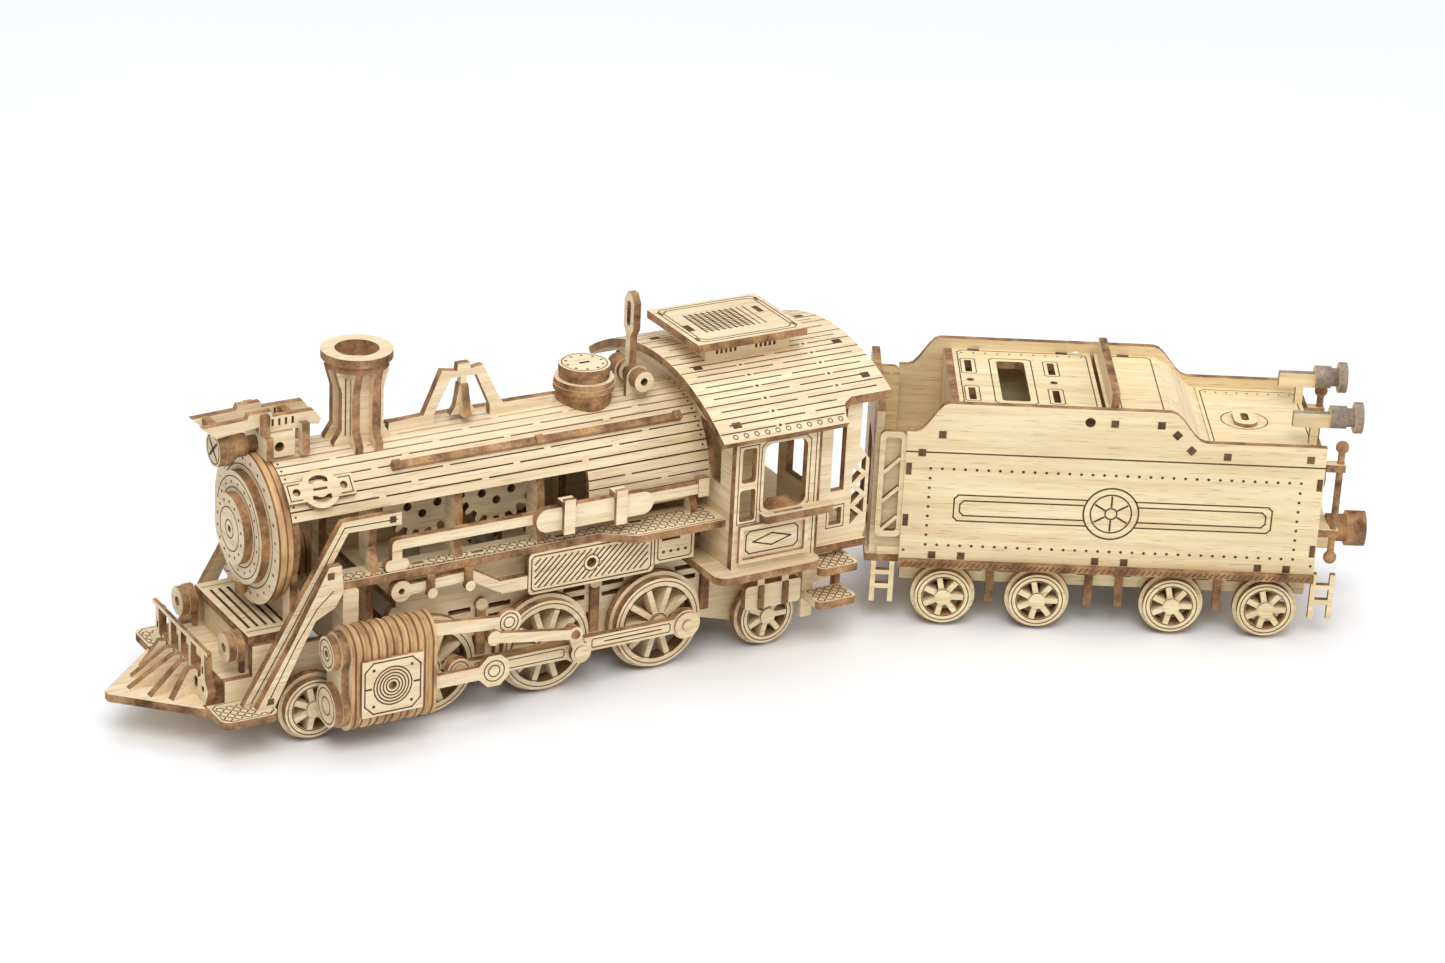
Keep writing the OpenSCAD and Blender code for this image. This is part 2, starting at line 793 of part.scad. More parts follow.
module tender_wheels_1() { tender_wheels(0); }
module tender_wheels_2() { tender_wheels(1); }
module tender_wheels_3() { tender_wheels(2); }
module tender_wheels_4() { tender_wheels(3); }

/* ---- Clockwork ---- */

module gear_outline(teeth, phase) {
    r = teeth * gear_module / 2;
    difference() {
        union() {
            circle(r - 1.1);
            for (i = [0 : teeth - 1]) rotate(phase + i * 360 / teeth)
                polygon([[r - 1.5, -0.95], [r + 0.1, -0.7], [r + 0.8, -0.4],
                    [r + 0.8, 0.4], [r + 0.1, 0.7], [r - 1.5, 0.95]]);
        }
        for (i = [0 : 5]) rotate(i * 60 + 30) translate([4.6, 0]) circle(1.1);
    }
}

// Phase of gear b that puts its teeth between those of gear a, seen from a at angle dir
function mesh_phase(dir, phase_a, teeth_a, teeth_b) =
    dir + 180 - (180 - (dir - phase_a) * teeth_a) / teeth_b;

function direction(a, b) = atan2(b[1] - a[1], b[0] - a[0]);

module gear_pair(phase) {
    pair() plate_xz(gear_y) gear_outline(gear_teeth, phase);
    rod_y(0, 0, -gear_y - 1, gear_y + 1, axle_r);
}

module gear_front() {
    color(tan) loco() translate([gear_front_x, 0, gear_z]) gear_pair(front_phase);
}

module gear_rear() {
    color(tan) loco() translate([gear_rear_x, 0, gear_z]) gear_pair(rear_phase);
}

module gear_idler() {
    color(tan) loco() translate([idler[0], 0, idler[1]]) {
        plate_xz(gear_y) gear_outline(gear_teeth, idler_phase);
        rod_y(0, 0, gear_y - 3.3, gear_y + 3.3, axle_r);
    }
}

module spring_barrel() {
    color("silver") loco() for (x = [gear_front_x, gear_rear_x]) {
        difference() {
            rod_y(x, gear_z, -4.2, 4.2, 7);
            rod_y(x, gear_z, -5, 5, axle_r + running_fit);
        }
        for (y = [-3, 3]) block([x - 1, y - 1, 29.6], [x + 1, y + 1, gear_z - 6.6]);
    }
}

module lever_bracket() {
    difference() {
        for (y = [3.1, -3.1]) plate_xz(y, 1.2) difference() {
            union() {
                translate([30.4, 65]) square([6, 5.6]);
                translate([33.4, 70.6]) circle(3);
            }
            translate([33.4, 70.6]) circle(1.6 + running_fit);
        }
        rod_x(0, boiler_z, 28, 40, boiler_r);
    }
}

module control_lever() {
    color(tan) loco() {
        difference() {
            union() {
                plate_yz(32.4) difference() {
                    polygon([[-1, 70.5], [1, 70.5], [1.1, 80.5], [2.4, 82.5], [2.4, 89.4],
                        [0.9, 91.6], [-0.9, 91.6], [-2.4, 89.4], [-2.4, 82.5], [-1.1, 80.5]]);
                    rounded(-0.9, 83, 0.9, 89.4, 0.8);
                }
                for (s = [-1, 1]) {
                    rod_y(33.4, 70.6, s * 1.65 - 0.65, s * 1.65 + 0.65, 2.6);
                    rod_y(33.4, 70.6, s * 5.5 - 1.7, s * 5.5 + 1.7, 2.6);
                }
                rod_y(33.4, 70.6, -4, 4, 1.6);
            }
            rod_y(33.4, 70.6, -9, -5.2, 1);
            rod_y(33.4, 70.6, 5.2, 9, 1);
        }
    }
}

/* ---- Cab ---- */

module cab_floor() {
    color(tan) loco() plate_xy(cab_floor_z - ply) {
        rounded(41, -34.8, 71, 34.8, 3.4);
        translate([60, -27.4]) square([27.6, 54.8]);
    }
}

// The underside of the roof, drop below its outer face
function roof_z(y, drop) = roof_top - drop - roof_bow + sqrt(pow(roof_bow, 2) - y * y);

module under_roof(x0, drop) {
    intersection() {
        translate([0, roof_top - roof_bow]) circle(roof_bow - drop, $fn = 180);
        translate([x0, cab_floor_z]) square([-2 * x0, 60]);
    }
}

module cab_front() {
    inner = cab_half - ply;
    color(cream) loco() {
        difference() {
            plate_yz(cab_x) difference() {
                under_roof(-inner, 2);
                for (s = [-1, 1]) polygon([[s * 12.9, 61.8], [s * 16.5, 54.5], [s * 19.7, 47.8],
                    [s * 24, 47.8], [s * 23.6, 60.6]]);
            }
            rod_x(0, 52, 40, 60, 6);
        }
        plate_yz(cab_rear) difference() {
            under_roof(-inner, 2);
            rounded(-12, cab_floor_z - 1, 12, 58, 3);
            for (s = [-1, 1]) translate([s * 20 - 4, 44]) square([8, 14]);
        }
    }
}

module cab_sides() {
    color(cream) loco() pair() {
        plate_xz(cab_half - 1) difference() {
            translate([cab_x, cab_floor_z]) square([cab_rear - cab_x, 35.6]);
            rounded(48.3, 50.2, 52.3, 59.3, 0.8);
            rounded(48, 40, 52.4, 48.4, 0.8);
            rounded(54.6, 41.8, 66.8, 59.6, 2.4);
        }
        plate_xz(cab_half + 0.5, 1) difference() {
            rounded(48, 29, 67.6, 39, 0.4);
            rounded(49, 30, 66.6, 38, 0.4);
        }
    }
}

module cab_posts() {
    post_top = 65.6;
    color(cream) loco() pair() plate_xz(25.4) difference() {
        polygon([[cab_rear + ply, cab_floor_z], [87.2, cab_floor_z], [88, 30], [88, 48.4],
            [85, 52.4], [85, post_top], [80.8, post_top], [80.8, 41.2], [77, 41.2],
            [77, post_top], [cab_rear + ply, post_top]]);
        translate([77, 32]) square([3.6, 4.6]);
        for (z = [31.2, 36.8, 42.4]) polygon([[83.2, z], [85.8, z + 2.4], [83.2, z + 4.6]]);
        for (z = [34, 39.6, 45.2]) polygon([[87, z], [87, z + 4.2], [84.5, z + 2.1]]);
    }
}

module roof_slits() {
    row_angle = 4.2;
    for (i = [-7 : 7], x = [[44.2, 65.6], [68.6, 88.4]])
        translate([0, 0, roof_top - roof_bow]) rotate([(i + 0.3 * sign(i)) * row_angle, 0, 0])
            block([x[0], -slit / 2, roof_bow - 3], [x[1], slit / 2, roof_bow + 1]);
}

module cab_roof() {
    eave = asin(roof_half / roof_bow);
    color(cream) loco() difference() {
        plate_yz(40.6, 51) translate([0, roof_top - roof_bow]) intersection() {
            difference() {
                circle(roof_bow, $fn = 180);
                circle(roof_bow - ply, $fn = 180);
            }
            polygon([[0, 0], 80 * [sin(eave), cos(eave)], [0, 90], 80 * [-sin(eave), cos(eave)]]);
        }
        pair() translate([0, 0, 50]) linear_extrude(30) polygon([[76, 40], [76, 33],
            [77.4, 30], [80, 28.6], [93, 28.6], [93, 40]]);
        roof_slits();
    }
}

module roof_hatch() {
    hatch_z = 78.5;
    vent_y = 8.4;
    color(cream) loco() {
        difference() {
            plate_xy(hatch_z) translate([44.9, -13]) square([31, 26]);
            for (i = [0 : 8])
                block([51 + i * 1.7, -4.8, hatch_z + 1.4], [51.5 + i * 1.7, 4.8, hatch_z + 3]);
        }
        difference() {
            block([49.7, -vent_y, 72], [73.6, vent_y, hatch_z]);
            translate([40, 0, roof_top - roof_bow]) rotate([0, 90, 0])
                cylinder(r = roof_bow, h = 50, $fn = 180);
            for (x0 = [52.6, 63.8], k = [0 : 4], y = [-vent_y, vent_y])
                block([x0 + k * 1.3, y - 0.6, hatch_z - 3.2],
                    [x0 + k * 1.3 + 0.7, y + 0.6, hatch_z - 0.9]);
        }
    }
}

module armrests() {
    color(cream) loco() pair() {
        plate_xy(39.8) difference() {
            rounded(53.4, cab_half, 73.6, cab_half + 3.4, 1.2);
            translate([57, cab_half + 1.3]) square([8, 0.8]);
        }
        plate_xz(cab_half - 2.4, 0.8) polygon([[56, 41.8], [57.6, 43.8], [63, 43.8], [65, 41.8]]);
    }
}

module cab_steps() {
    color(tan) loco() pair() {
        block([71.8, 22, 6.7], [75, 24, 25.3]);
        for (z = [12.1, 21.3]) plate_xy(z) difference() {
            rounded(71.8, 20, 83.3, 32.4, 1.8);
            translate([70, 18]) square([20, 6]);
        }
        block([81.4, 22, 11], [83, 24, 25.3]);
    }
}

module spring_boxes() {
    box_y = 24.6;
    color(cream) loco() pair() {
        plate_xz(box_y) rounded(54.4, 12.4, 70.4, 18.8, 1);
        for (x = [58.8, 65.8]) {
            block([x - 1, box_y - 1, 18.8], [x + 1, box_y + 1, 25.3]);
            block([x - 0.8, box_y + 1, 12.6], [x + 0.8, box_y + 1.6, 18.6]);
        }
    }
}

/* ---- Tender ---- */

module tender_frame() {
    inner = frame_out - ply;
    color(cream) tender() {
        difference() {
            pair() plate_xz(frame_out - 1) difference() {
                union() {
                    translate([12, 10.6]) square([104, 6.3]);
                    for (x = tender_wheel_x) translate([x, tender_flange_r]) circle(4.4);
                    for (x = tender_wheel_x) translate([x - 4.4, 8]) square([8.8, 8]);
                }
                for (x = [35.2, 64.5, 93.7], s = [-1, 1])
                    translate([x + s * 4.6 - 2.4, 13.4]) square([4.8, 1.2]);
            }
            for (x = tender_wheel_x) rod_y(x, tender_flange_r, -30, 30, axle_r + running_fit);
        }
        pair() for (x = [35.2, 60.6, 68.4, 93.7])
            block([x - 1, frame_out, 5.4], [x + 1, frame_out + 1, 16.9]);
        difference() {
            union() {
                block([2.6, -21.5, 16.9], [117, 21.5, 18.9]);
                block([-2, -5, 16.9], [2.6, 5, 18.9]);
                rod_z(0, 0, 16.9, 18.9, 5);
            }
            block([30, -9, 16], [100, 9, 20]);
        }
        rod_z(0, 0, 18.9, 24, 2);
        rod_z(0, 0, 23, 24.4, 3.4);
        for (x = [35.2, 93.7]) block([x - 1, -inner, 10.6], [x + 1, inner, 16.9]);
    }
}

function side_curve(x0, z0, x1, z1) = [for (i = [0 : 6])
    [x0 + (x1 - x0) * i / 6, z0 + (z1 - z0) * (1 - cos(180 * i / 6)) / 2]];

module side_outline() {
    polygon(concat([[11.2, 18.9], [11.2, 53.7]], side_curve(13.4, 53.7, 21.4, 61.6),
        side_curve(77, 61.6, 86.4, 53.7), [[116.9, 53.7], [116.9, 18.9]]));
}

module tender_sides() {
    color("#f0e2b8") tender() pair() {
        plate_xz(tender_half - 1) difference() {
            side_outline();
            translate([56.8, 58.1]) circle(1.3);
        }
        block([11.2, tender_half, 17], [116.9, tender_half + 1.4, 18.9]);
        block([11.2, 21.5, 16.9], [116.9, tender_half, 18.9]);
    }
}

module tender_decks() {
    inner = tender_half - ply;
    color(tan) tender() {
        plate_xy(57) difference() {
            translate([24.4, -inner]) square([53, 2 * inner]);
            rounded(35.4, -13.4, 42.6, 13.4, 1);
            for (x = [28, 49.4], s = [-1, 1])
                translate([x - 0.9, s * 9.4 - 4]) square([1.8, 8]);
            for (x = [28, 49.4]) translate([x, 0]) circle(1);
            translate([60.4, -inner - 1]) square([1, 2 * inner + 2]);
        }
        block([62.2, -19, 59], [64.2, 19, 64.6]);
        plate_xz(0, 2 * inner) polygon([[77.4, 57], [77.4, 59], [81, 57], [86, 52], [88.6, 50.6],
            [88.6, 48.9], [85, 50.2], [80.4, 54.8]]);
        plate_xy(48.9) difference() {
            translate([88.6, -inner]) square([27, 2 * inner]);
            translate([99, 0]) circle(1.2);
        }
        difference() {
            plate_xy(50.9, 1) translate([99, 0]) rotate(90) rounded(-5, -3, 5, 3, 2.9);
            plate_xy(50.5, 2) translate([99, 0]) rotate(90) rounded(-2.4, -1, 2.4, 1, 0.9);
        }
    }
}

module tender_bulkheads() {
    inner = tender_half - ply;
    color(cream) tender() {
        plate_yz(3.6) difference() {
            union() {
                translate([-20.6, 18.9]) square([41.2, 30]);
                rounded(-20.6, 44, 20.6, 59.6, 2);
            }
            for (i = [0 : 3], s = [-1, 1])
                translate([s * 14 - 3.4 + i * 1.9, 47.4]) square([0.8, 9.4]);
            rounded(-7, 18, 7, 44, 2);
        }
        block([5.6, -inner, 18.9], [22.4, inner, 20.9]);
        pair() block([5.6, 18.6, 20.9], [11.2, 20.6, 52]);
        plate_yz(22.4) translate([-inner, 18.9]) square([2 * inner, 40]);
        plate_yz(115.6, 1.3) translate([-inner, 18.9]) square([2 * inner, 32]);
    }
}

module ladder(x0, x1, z0, z1, y) {
    plate_xz(y, 1.6) difference() {
        translate([x0, z0]) square([x1 - x0, z1 - z0]);
        for (k = [0 : 2])
            translate([x0 + 1.3, z0 + (z1 - z0) * (k / 3) + (k == 0 ? -0.1 : 1.2)])
                square([x1 - x0 - 2.6, (z1 - z0) / 3 - (k == 0 ? 0 : 1.2)]);
    }
}

module tender_ladders() {
    color(cream) tender() pair() {
        ladder(4.4, 10.4, 5.6, 16.9, 20.6);
        ladder(117, 123, 5.6, 18, 20.6);
        plate_xz(22.2, 1.4) difference() {
            rounded(4.6, 24.4, 11.2, 53.2, 1.6);
            rounded(6, 26, 10, 51.6, 0.8);
        }
        plate_xz(22.2, 1.4) for (z = [30, 38, 46]) bar([6, z - 4], [10, z], 0.9);
    }
}

module tender_lamps() {
    color("#8f867a") tender() {
        pair() {
            rod_x(13.6, 58.4, 124.4, 126.4, 4);
            rod_x(13.6, 58.4, 122.4, 124.4, 2.4);
            rod_x(13.6, 58.4, 118.2, 122.4, 2.9);
            block([109, 12.6, 55.6], [118.2, 14.6, 59.4]);
            block([113.6, 12.6, 50.9], [115.6, 14.6, 55.6]);
        }
        rod_x(0, 37, 119, 121, 3.6);
        rod_x(0, 37, 116.9, 119, 1.6);
    }
}

module tender_coupler() {
    color(tan) tender() {
        block([116.9, -9, 20], [123, 9, 24]);
        rod_x(0, 22, 123, 128, 3.6);
        rod_x(0, 22, 128, 133, 4.6);
        pair() {
            rod_z(121.4, 19, 22, 52.4, 0.9);
            translate([121.4, 19, 52.4]) sphere(1.7);
            translate([121.4, 19, 22]) sphere(1.7);
            for (z = [28, 46]) block([116.9, 17.6, z], [122.6, 20.4, z + 2]);
        }
    }
}

frame_plates();
frame_spacers();
pilot_plate();
buffer_beam();
pilot_deck();
marker_lamps();
step_plates();
front_braces();
smokebox_ring();
smokebox_door();
headlamp();
headlamp_visor();
boiler_formers();
boiler_wrap();
boiler_rails();
badges();
chimney();
bell_frame();
bell();
dome();
running_boards();
air_tanks();
lower_pipes();
side_panels();
cylinder_blocks();
cylinder_covers();
valve_links();
cab_floor();
cab_front();
cab_sides();
cab_posts();
cab_roof();
roof_hatch();
armrests();
cab_steps();
spring_boxes();
control_lever();
pilot_wheels();
driver_wheels_1();
driver_wheels_2();
driver_wheels_3();
trailing_wheels();
connecting_rods();
eccentric_rods();
crossheads();
gear_front();
gear_rear();
gear_idler();
spring_barrel();
tender_frame();
tender_sides();
tender_decks();
tender_bulkheads();
tender_ladders();
tender_lamps();
tender_coupler();
tender_wheels_1();
tender_wheels_2();
tender_wheels_3();
tender_wheels_4();
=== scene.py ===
"""Looks for the plywood locomotive and tender: scorched laser-cut birch, its engraving, light and camera.

Positions are millimetres in each vehicle's own frame: X from front to back, Y across, Z up.
"""

import json
import math

import bpy
import numpy as np
from mathutils import Matrix, Vector


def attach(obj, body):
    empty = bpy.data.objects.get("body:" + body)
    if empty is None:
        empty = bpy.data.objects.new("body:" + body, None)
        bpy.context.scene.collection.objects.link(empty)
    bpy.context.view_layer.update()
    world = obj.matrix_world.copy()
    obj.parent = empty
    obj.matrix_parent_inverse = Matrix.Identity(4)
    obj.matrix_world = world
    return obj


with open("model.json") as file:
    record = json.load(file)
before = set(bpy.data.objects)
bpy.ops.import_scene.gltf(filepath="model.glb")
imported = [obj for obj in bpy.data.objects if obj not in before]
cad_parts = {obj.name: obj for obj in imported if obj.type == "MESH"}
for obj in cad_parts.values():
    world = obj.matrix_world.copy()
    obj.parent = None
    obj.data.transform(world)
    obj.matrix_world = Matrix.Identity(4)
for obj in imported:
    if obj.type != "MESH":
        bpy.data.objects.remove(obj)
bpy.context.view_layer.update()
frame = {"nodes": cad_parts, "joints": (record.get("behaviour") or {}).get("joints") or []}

MM = 0.001
SHEET = 2.0
JOINT = {j["name"]: j for j in frame["joints"]}

# The locomotive's frame starts under its middle driving axle, the tender's at the coupling pin
axle = Vector(JOINT["driver_2_turn"]["pos_m"])
pin = Vector(JOINT["tender_coupling_swing"]["pos_m"])
across = Vector(JOINT["tender_wheel_1_roll"]["axis"])
YAW = math.atan2(-across.x, across.y)
LOCO = Matrix.Translation((axle.x, axle.y, 0)) @ Matrix.Scale(MM, 4)
TENDER = Matrix.Translation((pin.x, pin.y, 0)) @ Matrix.Rotation(YAW, 4, "Z") @ Matrix.Scale(MM, 4)


# ---- Materials ----

def nodes_of(name):
    """A new material with its node tree, shader and a short way to add and join nodes."""
    mat = bpy.data.materials.new(name)
    mat.use_nodes = True
    tree = mat.node_tree
    shader = tree.nodes["Principled BSDF"]

    def add(kind, **inputs):
        node = tree.nodes.new(kind)
        for key, value in inputs.items():
            node.inputs[key.replace("_", " ")].default_value = value
        return node

    return mat, tree, shader, add


def noise(tree, add, coords, scale, detail, roughness=0.6):
    """Noise stretched by scale, in cycles per metre along each axis."""
    mapping = add("ShaderNodeMapping", Scale=scale)
    tree.links.new(coords, mapping.inputs["Vector"])
    texture = add("ShaderNodeTexNoise", Scale=1.0, Detail=detail, Roughness=roughness)
    tree.links.new(mapping.outputs["Vector"], texture.inputs["Vector"])
    return texture.outputs["Fac"]


def ramp(tree, add, value, stops):
    """Colours at places along a value from 0 to 1."""
    node = add("ShaderNodeValToRGB")
    tree.links.new(value, node.inputs["Fac"])
    while len(node.color_ramp.elements) < len(stops):
        node.color_ramp.elements.new(0.5)
    for element, (place, colour) in zip(node.color_ramp.elements, stops):
        element.position = place
        element.color = (*colour, 1)
    return node.outputs["Color"]


def multiply(tree, add, a, b, amount=1.0):
    node = add("ShaderNodeMix")
    node.data_type = "RGBA"
    node.blend_type = "MULTIPLY"
    node.inputs["Factor"].default_value = amount
    tree.links.new(a, node.inputs["A"])
    tree.links.new(b, node.inputs["B"])
    return node.outputs["Result"]


def bump(tree, add, shader, height, depth, strength=0.5):
    node = add("ShaderNodeBump", Strength=strength, Distance=depth)
    tree.links.new(height, node.inputs["Height"])
    tree.links.new(node.outputs["Normal"], shader.inputs["Normal"])


def grain_coords(tree, add, turn):
    """Object coordinates turned so that X runs along the grain."""
    place = add("ShaderNodeTexCoord")
    rotate = add("ShaderNodeMapping", Rotation=turn)
    tree.links.new(place.outputs["Object"], rotate.inputs["Vector"])
    return rotate.outputs["Vector"]


def birch(name, turn, light, dark):
    """Sanded birch face: long streaks, slow colour drift and short dark pores."""
    mat, tree, shader, add = nodes_of(name)
    coords = grain_coords(tree, add, turn)
    streaks = noise(tree, add, coords, (32, 620, 620), 5)
    drift = noise(tree, add, coords, (11, 48, 48), 2)
    pores = noise(tree, add, coords, (150, 2600, 2600), 2, 0.5)
    wood = ramp(tree, add, streaks, [(0.3, dark), (0.62, light)])
    slow = ramp(tree, add, drift, [(0.3, (0.86, 0.83, 0.78)), (0.66, (1, 1, 1))])
    dots = ramp(tree, add, pores, [(0.3, (0.62, 0.52, 0.4)), (0.4, (1, 1, 1))])
    colour = multiply(tree, add, multiply(tree, add, wood, slow), dots, 0.7)
    tree.links.new(colour, shader.inputs["Base Color"])
    sheen = add("ShaderNodeMapRange", To_Min=0.5, To_Max=0.72)
    tree.links.new(streaks, sheen.inputs["Value"])
    tree.links.new(sheen.outputs["Result"], shader.inputs["Roughness"])
    bump(tree, add, shader, streaks, 0.00006)
    return mat


def scorched(name, light, dark):
    """Cut edge of the sheet, browned unevenly by the laser and flecked with fine fibres."""
    mat, tree, shader, add = nodes_of(name)
    coords = grain_coords(tree, add, (0, 0, 0))
    patches = noise(tree, add, coords, (170, 170, 170), 4)
    fibres = noise(tree, add, coords, (1500, 1500, 1500), 3)
    middle = tuple((a + b) / 2 for a, b in zip(light, dark))
    brown = ramp(tree, add, patches, [(0.32, dark), (0.5, middle), (0.68, light)])
    fine = ramp(tree, add, fibres, [(0.3, (0.66, 0.6, 0.52)), (0.6, (1, 1, 1))])
    tree.links.new(multiply(tree, add, brown, fine), shader.inputs["Base Color"])
    shader.inputs["Roughness"].default_value = 0.78
    bump(tree, add, shader, fibres, 0.00008, 0.6)
    return mat


def stacked(name, light, dark):
    """Edges of a stack of sheets: golden layers along X with a dark joint every sheet."""
    mat, tree, shader, add = nodes_of(name)
    coords = grain_coords(tree, add, (0, 0, 0))
    patches = noise(tree, add, coords, (260, 90, 90), 4)
    golden = ramp(tree, add, patches, [(0.34, dark), (0.62, light)])
    wave_per_metre = math.pi / 10 / (SHEET * MM)
    joints = add("ShaderNodeTexWave", Scale=wave_per_metre)
    joints.bands_direction = "X"
    tree.links.new(coords, joints.inputs["Vector"])
    gaps = ramp(tree, add, joints.outputs["Fac"], [(0.05, (0.34, 0.24, 0.17)), (0.3, (1, 1, 1))])
    tree.links.new(multiply(tree, add, golden, gaps), shader.inputs["Base Color"])
    shader.inputs["Roughness"].default_value = 0.75
    bump(tree, add, shader, joints.outputs["Fac"], 0.00012, 0.6)
    return mat


def burnt_line_and_slit_shade(name):
    """The dark bottom of an engraved line, also laid as painted shade in the slits between the boiler's
    and the roof's planks.
    """
    mat, tree, shader, add = nodes_of(name)
    soot_and_shade = noise(tree, add, grain_coords(tree, add, (0, 0, 0)), (900, 900, 900), 3)
    colour = ramp(tree, add, soot_and_shade, [(0.3, (0.05, 0.022, 0.009)), (0.7, (0.15, 0.075, 0.032))])
    tree.links.new(colour, shader.inputs["Base Color"])
    shader.inputs["Roughness"].default_value = 0.9
    return mat


def steel(name):
    """Brushed spring steel."""
    mat, tree, shader, add = nodes_of(name)
    brushed = noise(tree, add, grain_coords(tree, add, (0, 0, 0)), (60, 2400, 60), 3)
    colour = ramp(tree, add, brushed, [(0.3, (0.34, 0.35, 0.37)), (0.7, (0.6, 0.61, 0.63))])
    tree.links.new(colour, shader.inputs["Base Color"])
    shader.inputs["Metallic"].default_value = 1
    shader.inputs["Roughness"].default_value = 0.38
    bump(tree, add, shader, brushed, 0.00002, 0.4)
    return mat


# Light and dark wood of the locomotive's sheets, and of the yellower tender's
PALE = (0.90, 0.76, 0.52)
PALE_DARK = (0.74, 0.55, 0.32)
YELLOW = (0.92, 0.78, 0.49)
YELLOW_DARK = (0.78, 0.60, 0.33)
QUARTER = math.pi / 2

birch_along = birch("birch_face_along", (0, 0, 0), PALE, PALE_DARK)
birch_across = birch("birch_face_across", (0, 0, QUARTER), PALE, PALE_DARK)
tender_along = birch("birch_tender_along", (0, 0, -YAW), YELLOW, YELLOW_DARK)
tender_across = birch("birch_tender_across", (0, 0, QUARTER - YAW), PALE, PALE_DARK)
edge_brown = scorched("birch_scorched_edge", (0.56, 0.32, 0.14), (0.11, 0.042, 0.015))
edge_stack = stacked("birch_stacked_edge", (0.66, 0.42, 0.19), (0.30, 0.14, 0.05))
edge_grey = scorched("birch_weathered_edge", (0.42, 0.34, 0.26), (0.2, 0.15, 0.11))
edge_dark = scorched("birch_tab_end", (0.22, 0.11, 0.045), (0.05, 0.021, 0.009))
line_brown = burnt_line_and_slit_shade("engraved_line_and_slit_shade")
spring_steel = steel("spring_steel")


# ---- Which faces of a cut plate are its pale sheet and which its scorched edge ----

# A flat region narrower than this is the edge of a sheet
WIDEST_EDGE = SHEET * 1.22
# Points are rounded to this, so that neighbours share them
SAME_POINT = 2e-3 * MM
# Neighbours lie in one plane when the cosine between their normals is above this
SAME_PLANE = 0.9998
# A face looks forward or back when the cosine between its normal and forward is above this
LOOKS_FORWARD = 0.7
# Places of a dressed node's materials in its list
ALONG, ACROSS, EDGE = 0, 1, 2


def flat_regions(mesh):
    """A region number for each polygon: polygons in one plane that share an edge have the same number."""
    count = len(mesh.polygons)
    co = np.array([v.co for v in mesh.vertices], float).reshape(-1, 3)
    merged = {}
    vertex = [merged.setdefault(tuple(p), len(merged)) for p in np.round(co / SAME_POINT).astype(int)]
    normals = np.array([p.normal for p in mesh.polygons], float).reshape(-1, 3)
    leader = list(range(count))

    def find(i):
        while leader[i] != i:
            leader[i] = leader[leader[i]]
            i = leader[i]
        return i

    edges = {}
    for p in mesh.polygons:
        corners = [vertex[v] for v in p.vertices]
        for a, b in zip(corners, corners[1:] + corners[:1]):
            edges.setdefault((min(a, b), max(a, b)), []).append(p.index)
    for sharing in edges.values():
        for other in sharing[1:]:
            if normals[sharing[0]] @ normals[other] > SAME_PLANE:
                leader[find(sharing[0])] = find(other)
    return [find(i) for i in range(count)], normals, co


def least_width(points, normal):
    """The narrowest way across a flat region, in millimetres."""
    u = np.cross(normal, [0, 0, 1] if abs(normal[2]) < 0.9 else [1, 0, 0])
    u /= np.linalg.norm(u)
    v = np.cross(normal, u)
    flat = points @ np.array([u, v]).T
    angles = np.arange(0, math.pi, math.pi / 36)
    spans = flat @ np.array([np.cos(angles), np.sin(angles)])
    return (spans.max(0) - spans.min(0)).min() / MM


def dress(node, along, across, edge, pale=None, forward=Vector((1, 0, 0))):
    """Gives a CAD node its sheet and edge materials. pale(normal) overrides the width rule.

    Faces that look forward or back take the material across the grain, the others the one along it.
    """
    mesh = frame["nodes"][node].data
    mesh.materials.clear()
    for mat in (along, across, edge):
        mesh.materials.append(mat)
    region, normals, co = flat_regions(mesh)
    members = {}
    for index, r in enumerate(region):
        members.setdefault(r, []).append(index)
    slots = [EDGE] * len(region)
    for polygons in members.values():
        normal = normals[polygons[0]]
        if pale is not None:
            is_face = pale(normal)
        else:
            used = sorted({v for i in polygons for v in mesh.polygons[i].vertices})
            is_face = least_width(co[used], normal) > WIDEST_EDGE
        if is_face:
            grain = ACROSS if abs(np.dot(normal, forward)) > LOOKS_FORWARD else ALONG
            for i in polygons:
                slots[i] = grain
    mesh.polygons.foreach_set("material_index", slots)


# Bent and crossed sheets, whose pale faces are told by their normal
PALE_RULES = {"boiler_wrap": lambda n: abs(n[0]) < 0.5,
              "cab_roof": lambda n: abs(n[2]) > 0.7,
              "bell": lambda n: max(abs(n[0]), abs(n[1])) > 0.99}
STACKED = ("cylinder_blocks", "smokebox_ring")
TENDER_FORWARD = Vector((math.cos(YAW), math.sin(YAW), 0))

for name in frame["nodes"]:
    if name == "spring_barrel":
        frame["nodes"][name].data.materials.clear()
        frame["nodes"][name].data.materials.append(spring_steel)
    elif name.startswith("tender_"):
        edge = edge_grey if name == "tender_lamps" else edge_brown
        dress(name, tender_along, tender_across, edge, forward=TENDER_FORWARD)
    else:
        edge = edge_stack if name in STACKED else edge_brown
        dress(name, birch_along, birch_across, edge, PALE_RULES.get(name))


# ---- Thin marks on the faces: engraved lines, painted shade in slits, rivets, tread and the ends of tabs ----

NEAR_FAR = (-1, 1)

# Faces and heights that marks lie on, in each vehicle's own frame
AXLE_Z = axle.z / MM
WHEEL_FACE = 22.9
BOILER_AXIS = 47.8
BOILER_R = 18.3
BADGE_SHEET = 1.6
ROOF_BOW = 60.0
ROOF_CROWN = 74.5
HATCH_TOP = 80.5
CAB_FACE = 31
CAB_POST_FACE = 26.4
GUSSET_FACE = 24.6
BRACE_FACE = 22
SIDE_BOX_FACE = 22.3
CROSSHEAD_FACE = 30.3
VALVE_LINK_FACE = 30.3
COUPLING_ROD_FACE = 26.8
MAIN_ROD_FACE = 28.5
CYLINDER_FACE = 36
CYLINDER_FRONT = -61.5
HEADLAMP_FRONT = -77.2
HEADLAMP_Z = 68.8
DOME_TOP = 75.2
PILOT_DECK_TOP = 27
RUNNING_BOARD_TOP = 39.7
STEP_PLATE_TOP = 11.9
